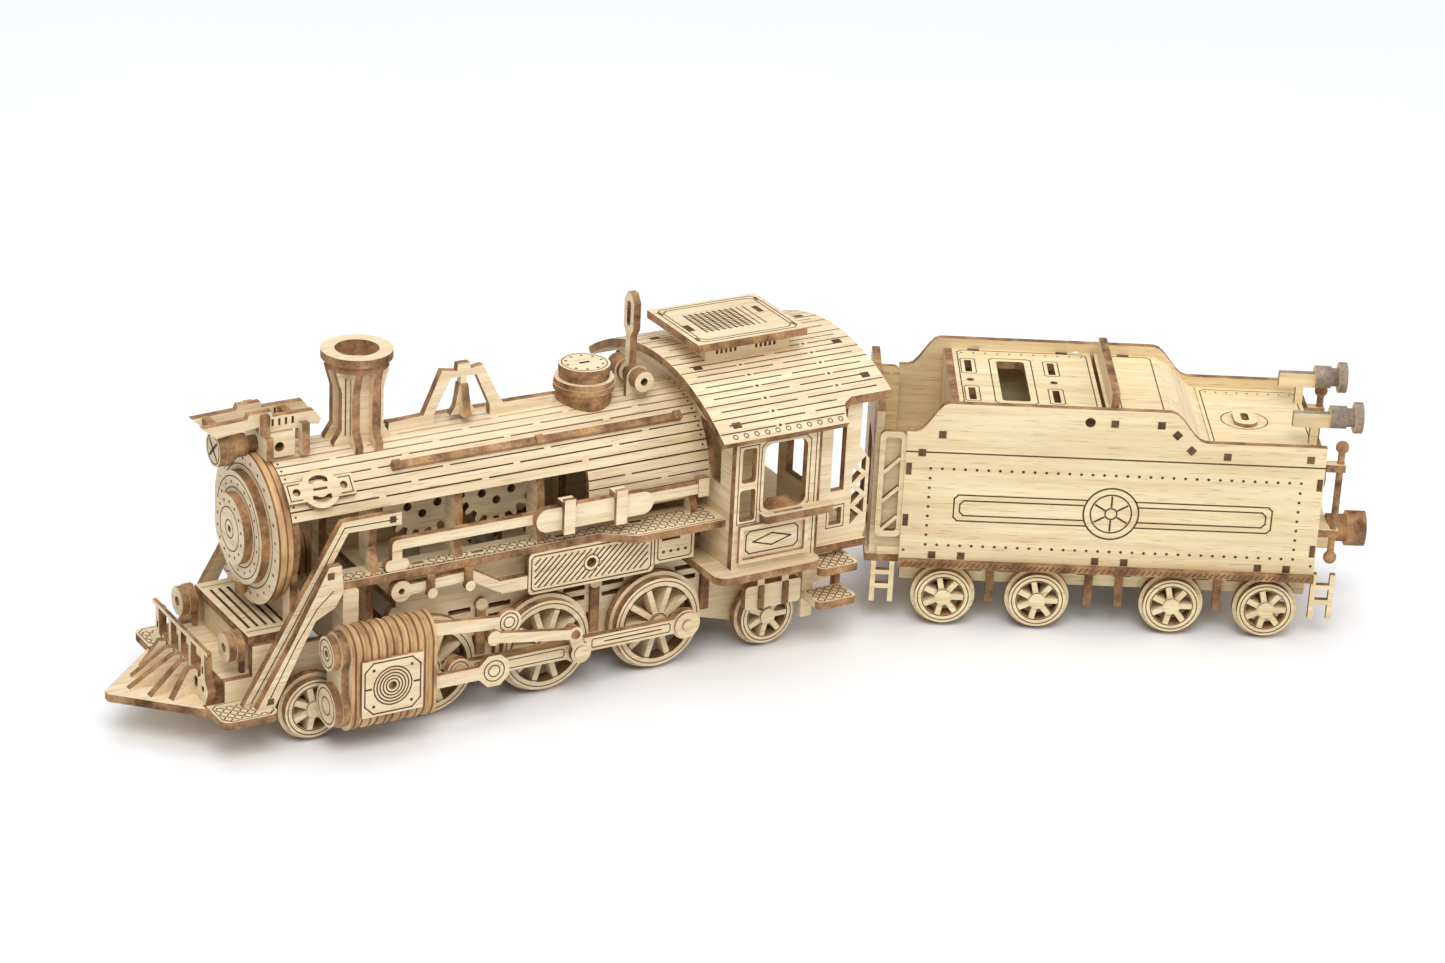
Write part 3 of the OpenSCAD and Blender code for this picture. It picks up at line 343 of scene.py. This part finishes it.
CAB_STEP_TOPS = (14.1, 23.3)
TENDER_FACE = 23.5
TENDER_SKIRT_FACE = 24.9
TENDER_FRONT = 3.6
TENDER_REAR = 116.9
HIGH_DECK_TOP = 59
LOW_DECK_TOP = 50.9


def sided(side, inner, outer):
    """Lowest and highest Y of a stretch on the near or the far side."""
    return sorted((side * inner, side * outer))


def span(node, placing=LOCO):
    """Lowest and highest corner of a CAD node in its vehicle's own frame, in millimetres."""
    own = placing.inverted()
    points = [own @ v.co for v in frame["nodes"][node].data.vertices]
    return (Vector(map(min, *points)), Vector(map(max, *points)))


class Marks:
    """Thin closed prisms on the faces of one body, gathered into one mesh.

    side, top, front, rear or face chooses the plate's face first. Marks are then placed on it
    in millimetres, by its two directions, and each mark's last sizes are its width or radius.
    """

    def __init__(self, name, body, placing, material, sunk=0.06, proud=0.03):
        self.name, self.body, self.placing, self.material = name, body, placing, material
        self.sunk, self.proud = sunk, proud
        self.points, self.faces = [], []

    def face(self, origin, u, v, out):
        """Marks that follow lie on this face: u and v are its directions, out its outward normal."""
        self.origin, self.u, self.v, self.out = (Vector(x) for x in (origin, u, v, out))
        self.turned = self.u.cross(self.v).dot(self.out) < 0
        return self

    def side(self, y):
        return self.face((0, y, 0), (1, 0, 0), (0, 0, 1), (0, math.copysign(1, y), 0))

    def top(self, z):
        return self.face((0, 0, z), (1, 0, 0), (0, 1, 0), (0, 0, 1))

    def front(self, x):
        return self.face((x, 0, 0), (0, 1, 0), (0, 0, 1), (-1, 0, 0))

    def rear(self, x):
        return self.face((x, 0, 0), (0, 1, 0), (0, 0, 1), (1, 0, 0))

    def lift(self, a, b, height):
        """The point at a and b on the face, raised by height."""
        return self.origin + self.u * a + self.v * b + self.out * height

    def prism(self, outline):
        """A flat mark with this outline, sunk a little into the face."""
        start, n = len(self.points), len(outline)
        area = sum(p[0] * q[1] - q[0] * p[1] for p, q in zip(outline, outline[1:] + outline[:1]))
        if (area < 0) != self.turned:
            outline = outline[::-1]
        self.points += [self.lift(*p, -self.sunk) for p in outline]
        self.points += [self.lift(*p, self.proud) for p in outline]
        self.faces.append([start + i for i in reversed(range(n))])
        self.faces.append([start + n + i for i in range(n)])
        for i in range(n):
            j = (i + 1) % n
            self.faces.append([start + i, start + j, start + n + j, start + n + i])

    def line(self, a, b, width=0.32):
        (x0, y0), (x1, y1) = a, b
        length = math.hypot(x1 - x0, y1 - y0)
        dx, dy = (x1 - x0) / length * width / 2, (y1 - y0) / length * width / 2
        self.prism([(x0 - dx + dy, y0 - dy - dx), (x1 + dx + dy, y1 + dy - dx),
                    (x1 + dx - dy, y1 + dy + dx), (x0 - dx - dy, y0 - dy + dx)])

    def path(self, points, width=0.32, closed=False):
        for a, b in zip(points, points[1:] + (points[:1] if closed else [])):
            self.line(a, b, width)

    def outline(self, x0, y0, x1, y1, width=0.32, cut=0.0):
        """A rectangle's outline, its corners cut off by cut."""
        corners = [(x0 + cut, y0), (x1 - cut, y0), (x1, y0 + cut), (x1, y1 - cut),
                   (x1 - cut, y1), (x0 + cut, y1), (x0, y1 - cut), (x0, y0 + cut)]
        if not cut:
            corners = corners[::2]
        self.path(corners, width, closed=True)

    def ring(self, x, y, radius, width=0.32, sides=36):
        """A circle line."""
        angles = [math.radians(360 * i / sides) for i in range(sides)]

        def circle(r):
            return [(x + r * math.cos(t), y + r * math.sin(t)) for t in angles]

        inner, outer = circle(radius - width / 2), circle(radius + width / 2)
        layers = ((inner, -self.sunk), (outer, -self.sunk), (outer, self.proud), (inner, self.proud))
        start = len(self.points)
        for points, height in layers:
            self.points += [self.lift(*p, height) for p in points]
        for k in range(4):
            for i in range(sides):
                j = (i + 1) % sides
                quad = [start + k * sides + i, start + k * sides + j,
                        start + (k + 1) % 4 * sides + j, start + (k + 1) % 4 * sides + i]
                self.faces.append(quad[::-1] if not self.turned else quad)

    def dot(self, x, y, radius=0.42):
        """A rivet."""
        self.prism([(x + radius * math.cos(i * math.pi / 4), y + radius * math.sin(i * math.pi / 4))
                    for i in range(8)])

    def row(self, a, b, spacing, radius=0.42):
        """Rivets from a to b, evenly set about spacing apart."""
        steps = max(1, round(math.dist(a, b) / spacing))
        for i in range(steps + 1):
            self.dot(a[0] + (b[0] - a[0]) * i / steps, a[1] + (b[1] - a[1]) * i / steps, radius)

    def tab(self, x, y, size=1.9, turn=0.0, other=None):
        """The end of a tab, size long and other high, or square where other isn't given."""
        half, half_v = size / 2, (other or size) / 2
        c, s = math.cos(turn), math.sin(turn)
        self.prism([(x + c * p - s * q, y + s * p + c * q)
                    for p, q in ((-half, -half_v), (half, -half_v), (half, half_v), (-half, half_v))])

    def tread(self, x0, y0, x1, y1, pitch, inside=lambda x, y: True):
        """Chequer plate: short strokes that lean left and right in turn."""
        reach = 0.36
        for i in range(int((x1 - x0) / pitch)):
            for k in range(int((y1 - y0) / pitch)):
                x, y = x0 + (i + 0.5) * pitch, y0 + (k + 0.5) * pitch
                if inside(x, y):
                    lean = reach if (i + k) % 2 else -reach
                    self.line((x - reach, y - lean), (x + reach, y + lean), 0.34)

    def done(self, slot="birch_edge"):
        """Makes the mesh and rides it on its body."""
        mesh = bpy.data.meshes.new(self.name)
        mesh.from_pydata([self.placing @ p for p in self.points], [], self.faces)
        mesh.materials.append(self.material)
        mesh.update()
        obj = bpy.data.objects.new(self.name, mesh)
        bpy.context.scene.collection.objects.link(obj)
        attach(obj, self.body)


def hatch(marks, x0, z0, x1, z1, spacing, clear=None):
    """Slanting lines inside a rectangle; clear is (x, z, r) of a disc that they leave free."""
    stroke, shortest = 0.42, 0.3
    height = z1 - z0
    for i in range(int((x1 - x0 + height) / spacing)):
        start = x0 - height + (i + 0.7) * spacing
        a, b = max(start, x0), min(start + height, x1)
        if b - a < 2 * shortest:
            continue
        p, q = (a, z0 + a - start), (b, z0 + b - start)
        if clear:
            cx, cz, r = clear
            middle = ((cx - start) + (cz - z0)) / 2
            gap = abs((cx - start) - (cz - z0)) / math.sqrt(2)
            if gap < r:
                half = math.sqrt(r * r - gap * gap) / math.sqrt(2)
                low, high = start + middle - half, start + middle + half
                if low > a + shortest:
                    marks.line(p, (low, z0 + low - start), stroke)
                if high < b - shortest:
                    marks.line((high, z0 + high - start), q, stroke)
                continue
        marks.line(p, q, stroke)


def wheel_emblem(lines, x, z, radius):
    """A plain spoked wheel in place of the maker's sign."""
    lines.ring(x, z, radius, 0.45)
    lines.ring(x, z, 5.2, 0.4)
    lines.ring(x, z, 1.5, 0.4, 20)
    for i in range(6):
        t = math.radians(60 * i + 30)
        lines.line((x + 2 * math.cos(t), z + 2 * math.sin(t)),
                   (x + 4.6 * math.cos(t), z + 4.6 * math.sin(t)), 0.5)


def tender_sides(lines, tabs):
    low, high = span("tender_sides", TENDER)
    # The emblem's middle and size, which the long panel's outlines leave free
    x, z, radius = 64, 33.4, 7
    for s in NEAR_FAR:
        lines.side(s * TENDER_FACE)
        lines.line((low.x + 0.2, 48.3), (high.x, 48.3), 0.4)
        for row in (43.9, 22.9):
            lines.row((17.7, row), (111.2, row), 2.9, 0.4)
        for column in (17.7, 111.2):
            lines.row((column, 25.6), (column, 41.2), 2.7, 0.4)
        for inset in (0, 1.5):
            x0, x1, z0, z1 = 24.2 + inset, 104.7 - inset, 29.8 + inset, 36.9 - inset
            reach = math.sqrt(radius ** 2 - ((z1 - z0) / 2) ** 2) + 0.3
            for start, end, cut in ((x - reach, x0, 1), (x + reach, x1, -1)):
                lines.path([(start, z1), (end + cut, z1), (end, z1 - 1), (end, z0 + 1), (end + cut, z0),
                            (start, z0)], 0.38)
        wheel_emblem(lines, x, z, radius)
        for column in (12.2, 115.9):
            lines.dot(column, 21.2, 0.4)
        lines.side(s * TENDER_SKIRT_FACE)
        for i in range(72):
            start = 12 + i * 1.45
            lines.line((start, 17.5), (start + 0.9, 18.4), 0.3)
        tender_side_tabs(tabs.side(s * TENDER_FACE))


def tender_side_tabs(tabs):
    for x, z in ((20.1, 53.2), (15.3, 48.1), (63, 58), (74.7, 58.1), (92, 50.3), (113, 50.4),
                 (19.5, 20.1), (26.9, 20.1), (61, 20.1), (68.4, 20.1), (102.5, 20.1), (109.8, 20.1)):
        tabs.tab(x, z)
    for x, z in ((78.9, 55.6), (82.8, 51.6)):
        tabs.tab(x, z, turn=math.radians(-42))
    for x, heights in ((12.2, (43.6, 29.5)), (115.9, (43.6, 25.3))):
        for z in heights:
            tabs.tab(x, z, 1.4, other=3.2)


def tender_decks(lines, tabs):
    lines.top(HIGH_DECK_TOP)
    lines.outline(25.6, -20.2, 59.2, 20.2, 0.3, 1.2)
    lines.outline(33.6, -15.2, 44.4, 15.2, 0.3, 1)
    for s in NEAR_FAR:
        lines.row((26.8, s * 18.6), (58, s * 18.6), 3.1, 0.32)
        for x in (28, 49.4):
            lines.outline(x - 1.9, s * 9.4 - 5, x + 1.9, s * 9.4 + 5, 0.26, 0.5)
    lines.outline(65.4, -20, 76, 20, 0.3, 1)
    lines.top(LOW_DECK_TOP)
    lines.outline(89.6, -20, 114.4, 20, 0.3, 1.2)
    for s in NEAR_FAR:
        lines.row((91, s * 18.4), (113, s * 18.4), 2.75, 0.32)
    lines.ring(99, 0, 6, 0.3, 40)
    tabs.top(HIGH_DECK_TOP)
    for x in (30, 53, 69):
        for s in NEAR_FAR:
            tabs.tab(x, s * 20.6, 3, other=1.3)


def tender_ends(lines):
    lines.front(TENDER_FRONT)
    lines.outline(-19.6, 20, -8, 43, 0.3, 1)
    lines.outline(8, 20, 19.6, 43, 0.3, 1)
    for s in NEAR_FAR:
        lines.row((s * 18.8, 46), (s * 18.8, 57), 2.75, 0.3)
    lines.rear(TENDER_REAR)
    lines.outline(-20, 20.6, 20, 49.4, 0.3, 1.4)
    for s in NEAR_FAR:
        lines.row((s * 17.8, 23), (s * 17.8, 47), 3, 0.36)


def roof(lines, tabs):
    """The roof's rows of short lines and dots, painted shade in the slits between its planks, its eave
    rivets and the ends of its tabs.
    """
    row_angle, first_line, first_slit = 4.2, 3.4, 5.46
    rows, long_rows = 8, 6
    shadow_depth = 0.3

    def at(marks, degrees):
        a = math.radians(degrees)
        marks.face((0, ROOF_BOW * math.sin(a), ROOF_CROWN - ROOF_BOW + ROOF_BOW * math.cos(a)), (1, 0, 0),
                   (0, math.cos(a), -math.sin(a)), (0, math.sin(a), math.cos(a)))

    for s in NEAR_FAR:
        for i in range(rows):
            at(lines, s * (first_line + row_angle * i))
            rear = 91.2 if i < long_rows else 75.6
            for x0, x1 in ((41.0, 56.2), (58.9, 76.7), (79.4, 91.2)):
                if x0 < rear:
                    lines.line((x0, 0), (min(x1, rear), 0), 0.34)
            lines.dot(57.5, 0, 0.42)
            if i < long_rows:
                lines.dot(78.0, 0, 0.42)
            if i < rows - 1:
                # Painted shade: a dark line sunk into the slit between this row of planks and the next
                at(lines, s * (first_slit + row_angle * i))
                lines.origin -= lines.out * shadow_depth
                lines.line((44.3, 0), (65.5, 0), 0.44)
                lines.line((68.7, 0), (88.3 if i < long_rows else 76, 0), 0.44)
        at(lines, s * 34.0)
        for i in range(11):
            lines.ring(44.4 + 2.97 * i, 0, 0.6, 0.26, 10)
        for x, degrees in ((46.2, 10.4), (87.0, 9), (87.1, 22.7), (46.2, 30.9)):
            at(tabs, s * degrees)
            tabs.tab(x, 0, 2.3, other=1.7)


def roof_hatch(lines):
    """The hatch's frame, its grille of crossed lines and the dark holes for its tabs."""
    lines.top(HATCH_TOP)
    lines.outline(46.3, -11.6, 74.5, 11.6, 0.3, 1.4)
    lines.outline(47.4, -10.5, 73.4, 10.5, 0.3, 1.4)
    for i in range(12):
        lines.line((51.2, -5.5 + i), (64.9, -5.5 + i), 0.3)
    for i in range(9):
        lines.line((51.25 + 1.7 * i, -6), (51.25 + 1.7 * i, 6), 0.4)
    for x in (66.4, 68.2):
        lines.line((x, -6), (x, 6), 0.34)
    for x, y in ((48.4, -2), (70.9, 3)):
        lines.tab(x, y, 1.6, other=4)
    for x in (46.8, 74.0):
        for s in NEAR_FAR:
            lines.line((x, s * 8.4), (x, s * 10), 0.5)


def running_boards(lines):
    """Tread between the boards' edges, clear of the holes and of the ribs below the boiler."""
    front = span("running_boards")[0].x
    inner, rear = 17.4, 45.4
    narrow, wide, widening, slope = 22.3, 27.4, 14, 0.6375
    rim = 0.9

    def on_board(x, y):
        edge = narrow if x < widening else min(wide, narrow + (x - widening) * slope)
        holes = any(abs(x - h) < 2.1 and 18.2 < abs(y) < 20.6 for h in (-33.4, -17.6, 5, 25.4))
        ribs = any(-0.4 < x - r < 2.4 and abs(y) < 21 for r in (-46, -24, -2, 40.4))
        return inner < abs(y) < edge - rim and not holes and not ribs and front + 0.8 < x < rear

    lines.top(RUNNING_BOARD_TOP)
    for s in NEAR_FAR:
        y0, y1 = sided(s, inner, wide)
        lines.tread(front + 0.6, y0, 46, y1, 1.35, on_board)
        lines.path([(front + 0.6, s * 21.7), (14.2, s * 21.7), (22.2, s * 26.8), (46, s * 26.8)], 0.22)


def step_plates(lines):
    """Tread on the two front plates, clear of the feet of the braces and their gussets."""

    def on_plate(x, y):
        gusset_foot = -77.6 < x < -71.8 and 22 < abs(y) < 25.2
        brace_foot = -80 < x < -75 and 19.6 < abs(y) < 22.4
        return not gusset_foot and not brace_foot

    lines.top(STEP_PLATE_TOP)
    for s in NEAR_FAR:
        y0, y1 = sided(s, 18.2, 26.9)
        lines.tread(-85.8, y0, -73.2, y1, 1.25, on_plate)
        y0, y1 = sided(s, 17.9, 27.2)
        lines.outline(-86, y0, -73, y1, 0.24, 1.6)


def cab_steps(lines):
    for z in CAB_STEP_TOPS:
        lines.top(z)
        for s in NEAR_FAR:
            y0, y1 = sided(s, 24.4, 31.9)
            lines.tread(72.4, y0, 82.8, y1, 1.25)


def side_boxes(lines):
    for s in NEAR_FAR:
        lines.side(s * SIDE_BOX_FACE)
        lines.outline(-4.2, 27.6, 28.7, 36.9, 0.34, 0.8)
        hatch(lines, -3.2, 28.6, 27.7, 35.9, 1.75, (12.2, 32.4, 2.4))
        lines.ring(12.2, 32.4, 2.1, 0.3, 24)
        lines.outline(30.6, 29.4, 40, 36.9, 0.3, 0.6)
        lines.row((32.2, 31.4), (38.4, 31.4), 2.1, 0.45)


def cylinders(lines):
    """Target label on each side, circles on the two front covers of each cylinder."""
    x, z = -47.4, 17.7
    for s in NEAR_FAR:
        lines.side(s * CYLINDER_FACE)
        lines.outline(-54.6, 11.1, -40.2, 24.3, 0.36, 2.2)
        for i in range(5):
            lines.ring(x, z, 1.7 + 0.8 * i, 0.36, 30)
        for dx in (-1, 1):
            lines.line((x + dx * 5.6, z), (x + dx * 6.8, z), 0.5)
            for dz in (-1, 1):
                lines.dot(x + dx * 4.9, z + dz * 4.7, 0.42)
        lines.front(CYLINDER_FRONT)
        for r in (4.4, 2.2):
            lines.ring(s * 29.4, 12.2, r, 0.3, 32)
        for r in (3.4, 1.7):
            lines.ring(s * 29.4, 25.8, r, 0.3, 28)


def valve_links(lines):
    for s in NEAR_FAR:
        lines.side(s * VALVE_LINK_FACE)
        for r in (1.4, 2.4):
            lines.ring(-14.1, 25, r, 0.3, 24)


def smokebox(lines):
    """Circles and rivets on the smokebox ring and on the two discs of its door."""
    ring_front = span("smokebox_ring")[0].x
    disc_step = 2.2

    def circle_of_dots(count, radius, size):
        for i in range(count):
            t = math.radians(360 * (i + 0.5) / count)
            lines.dot(radius * math.cos(t), BOILER_AXIS + radius * math.sin(t), size)

    lines.front(ring_front)
    circle_of_dots(24, 16.7, 0.42)
    lines.ring(0, BOILER_AXIS, 15, 0.3, 48)
    lines.front(ring_front - disc_step)
    lines.ring(0, BOILER_AXIS, 12.4, 0.28, 48)
    circle_of_dots(18, 11, 0.38)
    lines.ring(0, BOILER_AXIS, 9.7, 0.28, 48)
    lines.front(ring_front - 2 * disc_step)
    circle_of_dots(14, 7, 0.4)
    for r in (5.4, 2.2):
        lines.ring(0, BOILER_AXIS, r, 0.3, 36)


def headlamp(lines):
    """A cross in a circle on the lamp's front disc."""
    lines.front(HEADLAMP_FRONT)
    for s in NEAR_FAR:
        lines.line((-1.9, HEADLAMP_Z - s * 1.9), (1.9, HEADLAMP_Z + s * 1.9), 0.7)
    lines.ring(0, HEADLAMP_Z, 3.5, 0.3, 28)


def boiler_lines(lines, bridges):
    """Shadows in the long slits between planks, bridges across them, and rivets at their ends."""
    low, high = span("boiler_wrap")
    upper_first, upper_arc, upper_planks = 21.8, 67.5, 9
    lower_first, lower_arc, lower_planks = -17, 37.4, 5
    firebox_front = 13.5
    shadow_depth = 0.35

    def at(marks, angle):
        c, s = math.cos(angle), math.sin(angle)
        marks.face((0, BOILER_R * c, BOILER_AXIS + BOILER_R * s), (1, 0, 0), (0, -s, c), (0, c, s))

    def dark_slit(angle, start):
        """The shadow in a slit, part of the way down it."""
        at(lines, angle)
        lines.origin -= lines.out * shadow_depth
        lines.line((start, 0), (high.x - 0.5, 0), 0.44)

    def bridge(x):
        bridges.tab(x, 0, 1.8, other=0.5)

    def angle_on(side, degrees):
        """An angle up from the far side's level, or from the near side's."""
        angle = math.radians(degrees)
        return angle if side > 0 else math.pi - angle

    for s in NEAR_FAR:
        for i in range(1, upper_planks):
            angle = angle_on(s, upper_first + i * upper_arc / upper_planks)
            at(bridges, angle)
            dark_slit(angle, low.x + 0.5)
            for x in range(-50 + (i % 3) * 9, 40, 27):
                bridge(x)
        for i in range(1, lower_planks):
            angle = angle_on(s, lower_first + i * lower_arc / lower_planks)
            at(bridges, angle)
            dark_slit(angle, firebox_front)
            bridge(24 + (i % 2) * 10)
        for x in (low.x + 1, high.x - 1.2):
            for i in range(upper_planks):
                at(lines, angle_on(s, 25.5 + i * upper_arc / upper_planks))
                lines.dot(x, 0, 0.3)


def cab_sides(lines):
    """Frames of the panels and windows, and a plain lozenge on the plaque."""
    for s in NEAR_FAR:
        lines.side(s * CAB_FACE)
        lines.outline(50.4, 31, 65.2, 37, 0.34, 1)
        lines.path([(52.4, 34), (57.8, 35.6), (63.2, 34), (57.8, 32.4)], 0.4, closed=True)
        lines.outline(47.4, 39.4, 52.9, 60, 0.24)
        lines.outline(53.7, 41, 67.7, 60.4, 0.26, 1.4)
        lines.line((69.3, 28), (69.3, 61), 0.26)
        lines.side(s * CAB_POST_FACE)
        lines.outline(76.3, 31.3, 81.3, 37.3, 0.24)


def dome(lines):
    x = 20.5
    lines.top(DOME_TOP)
    for i in range(10):
        t = math.radians(36 * i)
        lines.dot(x + 4.6 * math.cos(t), 4.6 * math.sin(t), 0.4)
    lines.ring(x, 0, 5.6, 0.26, 36)


def front_braces(lines, tabs):
    """Lines along each bent brace, its gusset and the deck's rim beside it."""
    for s in NEAR_FAR:
        lines.top(PILOT_DECK_TOP)
        lines.line((-74.6, s * 13.6), (-63, s * 13.6), 0.24)
        lines.side(s * GUSSET_FACE)
        lines.path([(-74.4, 12.8), (-66.6, 27.6), (-61.6, 35.4), (-57.6, 39)], 0.28)
        lines.side(s * BRACE_FACE)
        lines.path([(-77.2, 12.8), (-66.4, 31), (-53.6, 53.4), (-40, 53.3)], 0.28)
        tabs.side(s * GUSSET_FACE)
        tabs.tab(-58.2, 43, 1.7)
        tabs.tab(-73.4, 13.6, 1.5)
        tabs.side(s * BRACE_FACE)
        tabs.tab(-41.2, 53.4, 1.6)


def chimney(lines):
    """Two upright lines on each of the four crossed plates."""
    x, face, apart = -40.6, 3.6, 4.5
    foot, head = 68.4, 82.6
    for s in NEAR_FAR:
        lines.side(s * face)
        for dx in (-apart, apart):
            lines.line((x + dx, foot), (x + dx, head), 0.34)
    for view, place in ((lines.front, x - face), (lines.rear, x + face)):
        view(place)
        for y in (-apart, apart):
            lines.line((y, foot), (y, head), 0.34)


def boiler_badges(lines):
    """Outlines at both ends of each badge and a short stroke in its middle."""
    tilt, middle = math.radians(48), Vector((-56.6, 0, BOILER_AXIS))
    end = 7.9
    for s in NEAR_FAR:
        out = Vector((0, s * math.sin(tilt), math.cos(tilt)))
        up = Vector((0, -s * math.cos(tilt), math.sin(tilt)))
        lines.face(middle + out * (BOILER_R + BADGE_SHEET), (1, 0, 0), up, out)
        for x in (-end, end):
            lines.line((x, -1.9), (x, 1.9), 0.3)
        lines.line((-1.5, 0), (1.5, 0), 0.6)
        for z in (-1.95, 1.95):
            lines.line((-end, z), (-5, z), 0.26)
            lines.line((5, z), (end, z), 0.26)


def rod_lines(lines):
    """A sunk panel outlined on the coupling and main rods."""
    for s in NEAR_FAR:
        lines.side(s * COUPLING_ROD_FACE)
        for x0, x1 in ((-21.2, 1.4), (10.6, 32.4)):
            lines.outline(x0, AXLE_Z - 1.15, x1, AXLE_Z + 1.15, 0.26, 0.4)
        for x in (-25.4, 37):
            lines.ring(x, AXLE_Z, 2.4, 0.26, 24)
        lines.side(s * MAIN_ROD_FACE)
        lines.outline(-14.8, AXLE_Z - 1.1, 2, AXLE_Z + 1.1, 0.26, 0.4)


def crosshead_rings(lines):
    for s in NEAR_FAR:
        lines.side(s * CROSSHEAD_FACE)
        for r in (1.5, 2.7):
            lines.ring(-17.8, AXLE_Z, r, 0.3, 24)


def wheel_rings(name, joint, placing, radii):
    """Circle lines round the axle of a joint, on both outer wheel faces of its body."""
    lines = Marks(name, JOINT[joint]["child"], placing, line_brown)
    centre = placing.inverted() @ Vector(JOINT[joint]["pos_m"])
    for s in NEAR_FAR:
        lines.side(s * WHEEL_FACE)
        for r in radii:
            lines.ring(centre.x, centre.z, r, 0.26, 48)
    lines.done()


loco_lines = Marks("engraving_and_slit_shade_locomotive", "locomotive", LOCO, line_brown)
loco_tabs = Marks("tab_ends_locomotive", "locomotive", LOCO, edge_dark, proud=0.12)
plank_bridges = Marks("plank_bridges", "locomotive", LOCO, birch_along, sunk=1.0, proud=0.0)
tender_lines = Marks("engraving_tender", "tender", TENDER, line_brown)
tender_tabs = Marks("tab_ends_tender", "tender", TENDER, edge_dark, proud=0.12)
moving_rods = Marks("engraving_rods", "rods", LOCO, line_brown)
crosshead_lines = Marks("engraving_crossheads", "crossheads", LOCO, line_brown)

tender_sides(tender_lines, tender_tabs)
tender_decks(tender_lines, tender_tabs)
tender_ends(tender_lines)
roof(loco_lines, loco_tabs)
roof_hatch(loco_lines)
running_boards(loco_lines)
step_plates(loco_lines)
cab_steps(loco_lines)
side_boxes(loco_lines)
cylinders(loco_lines)
valve_links(loco_lines)
smokebox(loco_lines)
headlamp(loco_lines)
boiler_lines(loco_lines, plank_bridges)
cab_sides(loco_lines)
dome(loco_lines)
front_braces(loco_lines, loco_tabs)
chimney(loco_lines)
boiler_badges(loco_lines)
rod_lines(moving_rods)
crosshead_rings(crosshead_lines)
for marks in (loco_lines, loco_tabs, tender_lines, tender_tabs, moving_rods, crosshead_lines):
    marks.done()
plank_bridges.done("birch_ply")

for i in (1, 2, 3):
    wheel_rings(f"engraving_driver_{i}", f"driver_{i}_turn", LOCO, (11.0, 9.5, 2.4))
for name in ("pilot", "trailing"):
    wheel_rings(f"engraving_{name}_wheels", f"{name}_wheel_roll", LOCO, (6.8, 5.7))
for i in (1, 2, 3, 4):
    wheel_rings(f"engraving_tender_wheels_{i}", f"tender_wheel_{i}_roll", TENDER, (6.5, 5.4))


# ---- Floor, light and camera ----

TRAIN_MIDDLE = Vector((0, 0, 0.03))


def floor():
    """A plain pale floor, just below the wheel flanges."""
    mesh = bpy.data.meshes.new("floor")
    half, z = 30.0, -0.0002
    corners = [(-half, -half, z), (half, -half, z), (half, half, z), (-half, half, z)]
    mesh.from_pydata(corners, [], [(0, 1, 2, 3)])
    mat, tree, shader, add = nodes_of("floor_paint")
    shade = noise(tree, add, grain_coords(tree, add, (0, 0, 0)), (3, 3, 3), 2)
    colour = ramp(tree, add, shade, [(0.3, (0.90, 0.905, 0.92)), (0.7, (0.93, 0.935, 0.95))])
    tree.links.new(colour, shader.inputs["Base Color"])
    shader.inputs["Roughness"].default_value = 0.85
    mesh.materials.append(mat)
    obj = bpy.data.objects.new("floor", mesh)
    bpy.context.scene.collection.objects.link(obj)


def softbox(name, place, size, power, colour=(1, 1, 1)):
    """A round soft light that looks at the middle of the train."""
    light = bpy.data.lights.new(name, "AREA")
    light.shape = "DISK"
    light.size = size
    light.energy = power
    light.color = colour
    obj = bpy.data.objects.new(name, light)
    obj.location = place
    obj.rotation_mode = "QUATERNION"
    obj.rotation_quaternion = (TRAIN_MIDDLE - Vector(place)).to_track_quat("-Z", "Y")
    bpy.context.scene.collection.objects.link(obj)


def sky(strength):
    world = bpy.data.worlds.new("studio")
    world.use_nodes = True
    background = world.node_tree.nodes["Background"]
    background.inputs["Color"].default_value = (0.94, 0.96, 1.0, 1)
    background.inputs["Strength"].default_value = strength
    bpy.context.scene.world = world


def camera(place, azimuth, elevation, roll, lens):
    """Looks from azimuth and elevation, in degrees, turned by roll about the line of sight."""
    a, e, r = (math.radians(x) for x in (azimuth, elevation, roll))
    back = Vector((math.sin(a) * math.cos(e), -math.cos(a) * math.cos(e), math.sin(e)))
    level = (-back).cross(Vector((0, 0, 1))).normalized()
    upright = level.cross(-back)
    right = math.cos(r) * level + math.sin(r) * upright
    up = -math.sin(r) * level + math.cos(r) * upright
    data = bpy.data.cameras.new("camera")
    data.sensor_width = 36
    data.lens = lens
    data.clip_start, data.clip_end = 0.01, 100
    obj = bpy.data.objects.new("camera", data)
    obj.matrix_world = Matrix.Translation(place) @ Matrix((right, up, back)).transposed().to_4x4()
    bpy.context.scene.collection.objects.link(obj)
    bpy.context.scene.camera = obj


floor()
sky(0.5)
softbox("key", (-0.5, -0.9, 1.5), 1.1, 17)
softbox("fill", (0.9, -0.8, 0.9), 1.0, 5, (1, 0.98, 0.95))
softbox("top", (0.1, 0.5, 1.6), 1.4, 9)
bpy.context.scene.view_settings.view_transform = "Standard"
camera(place=LOCO @ Vector((-409.66, -783.46, 432.60)),
       azimuth=-31.02, elevation=23.44, roll=2.90, lens=98.22)
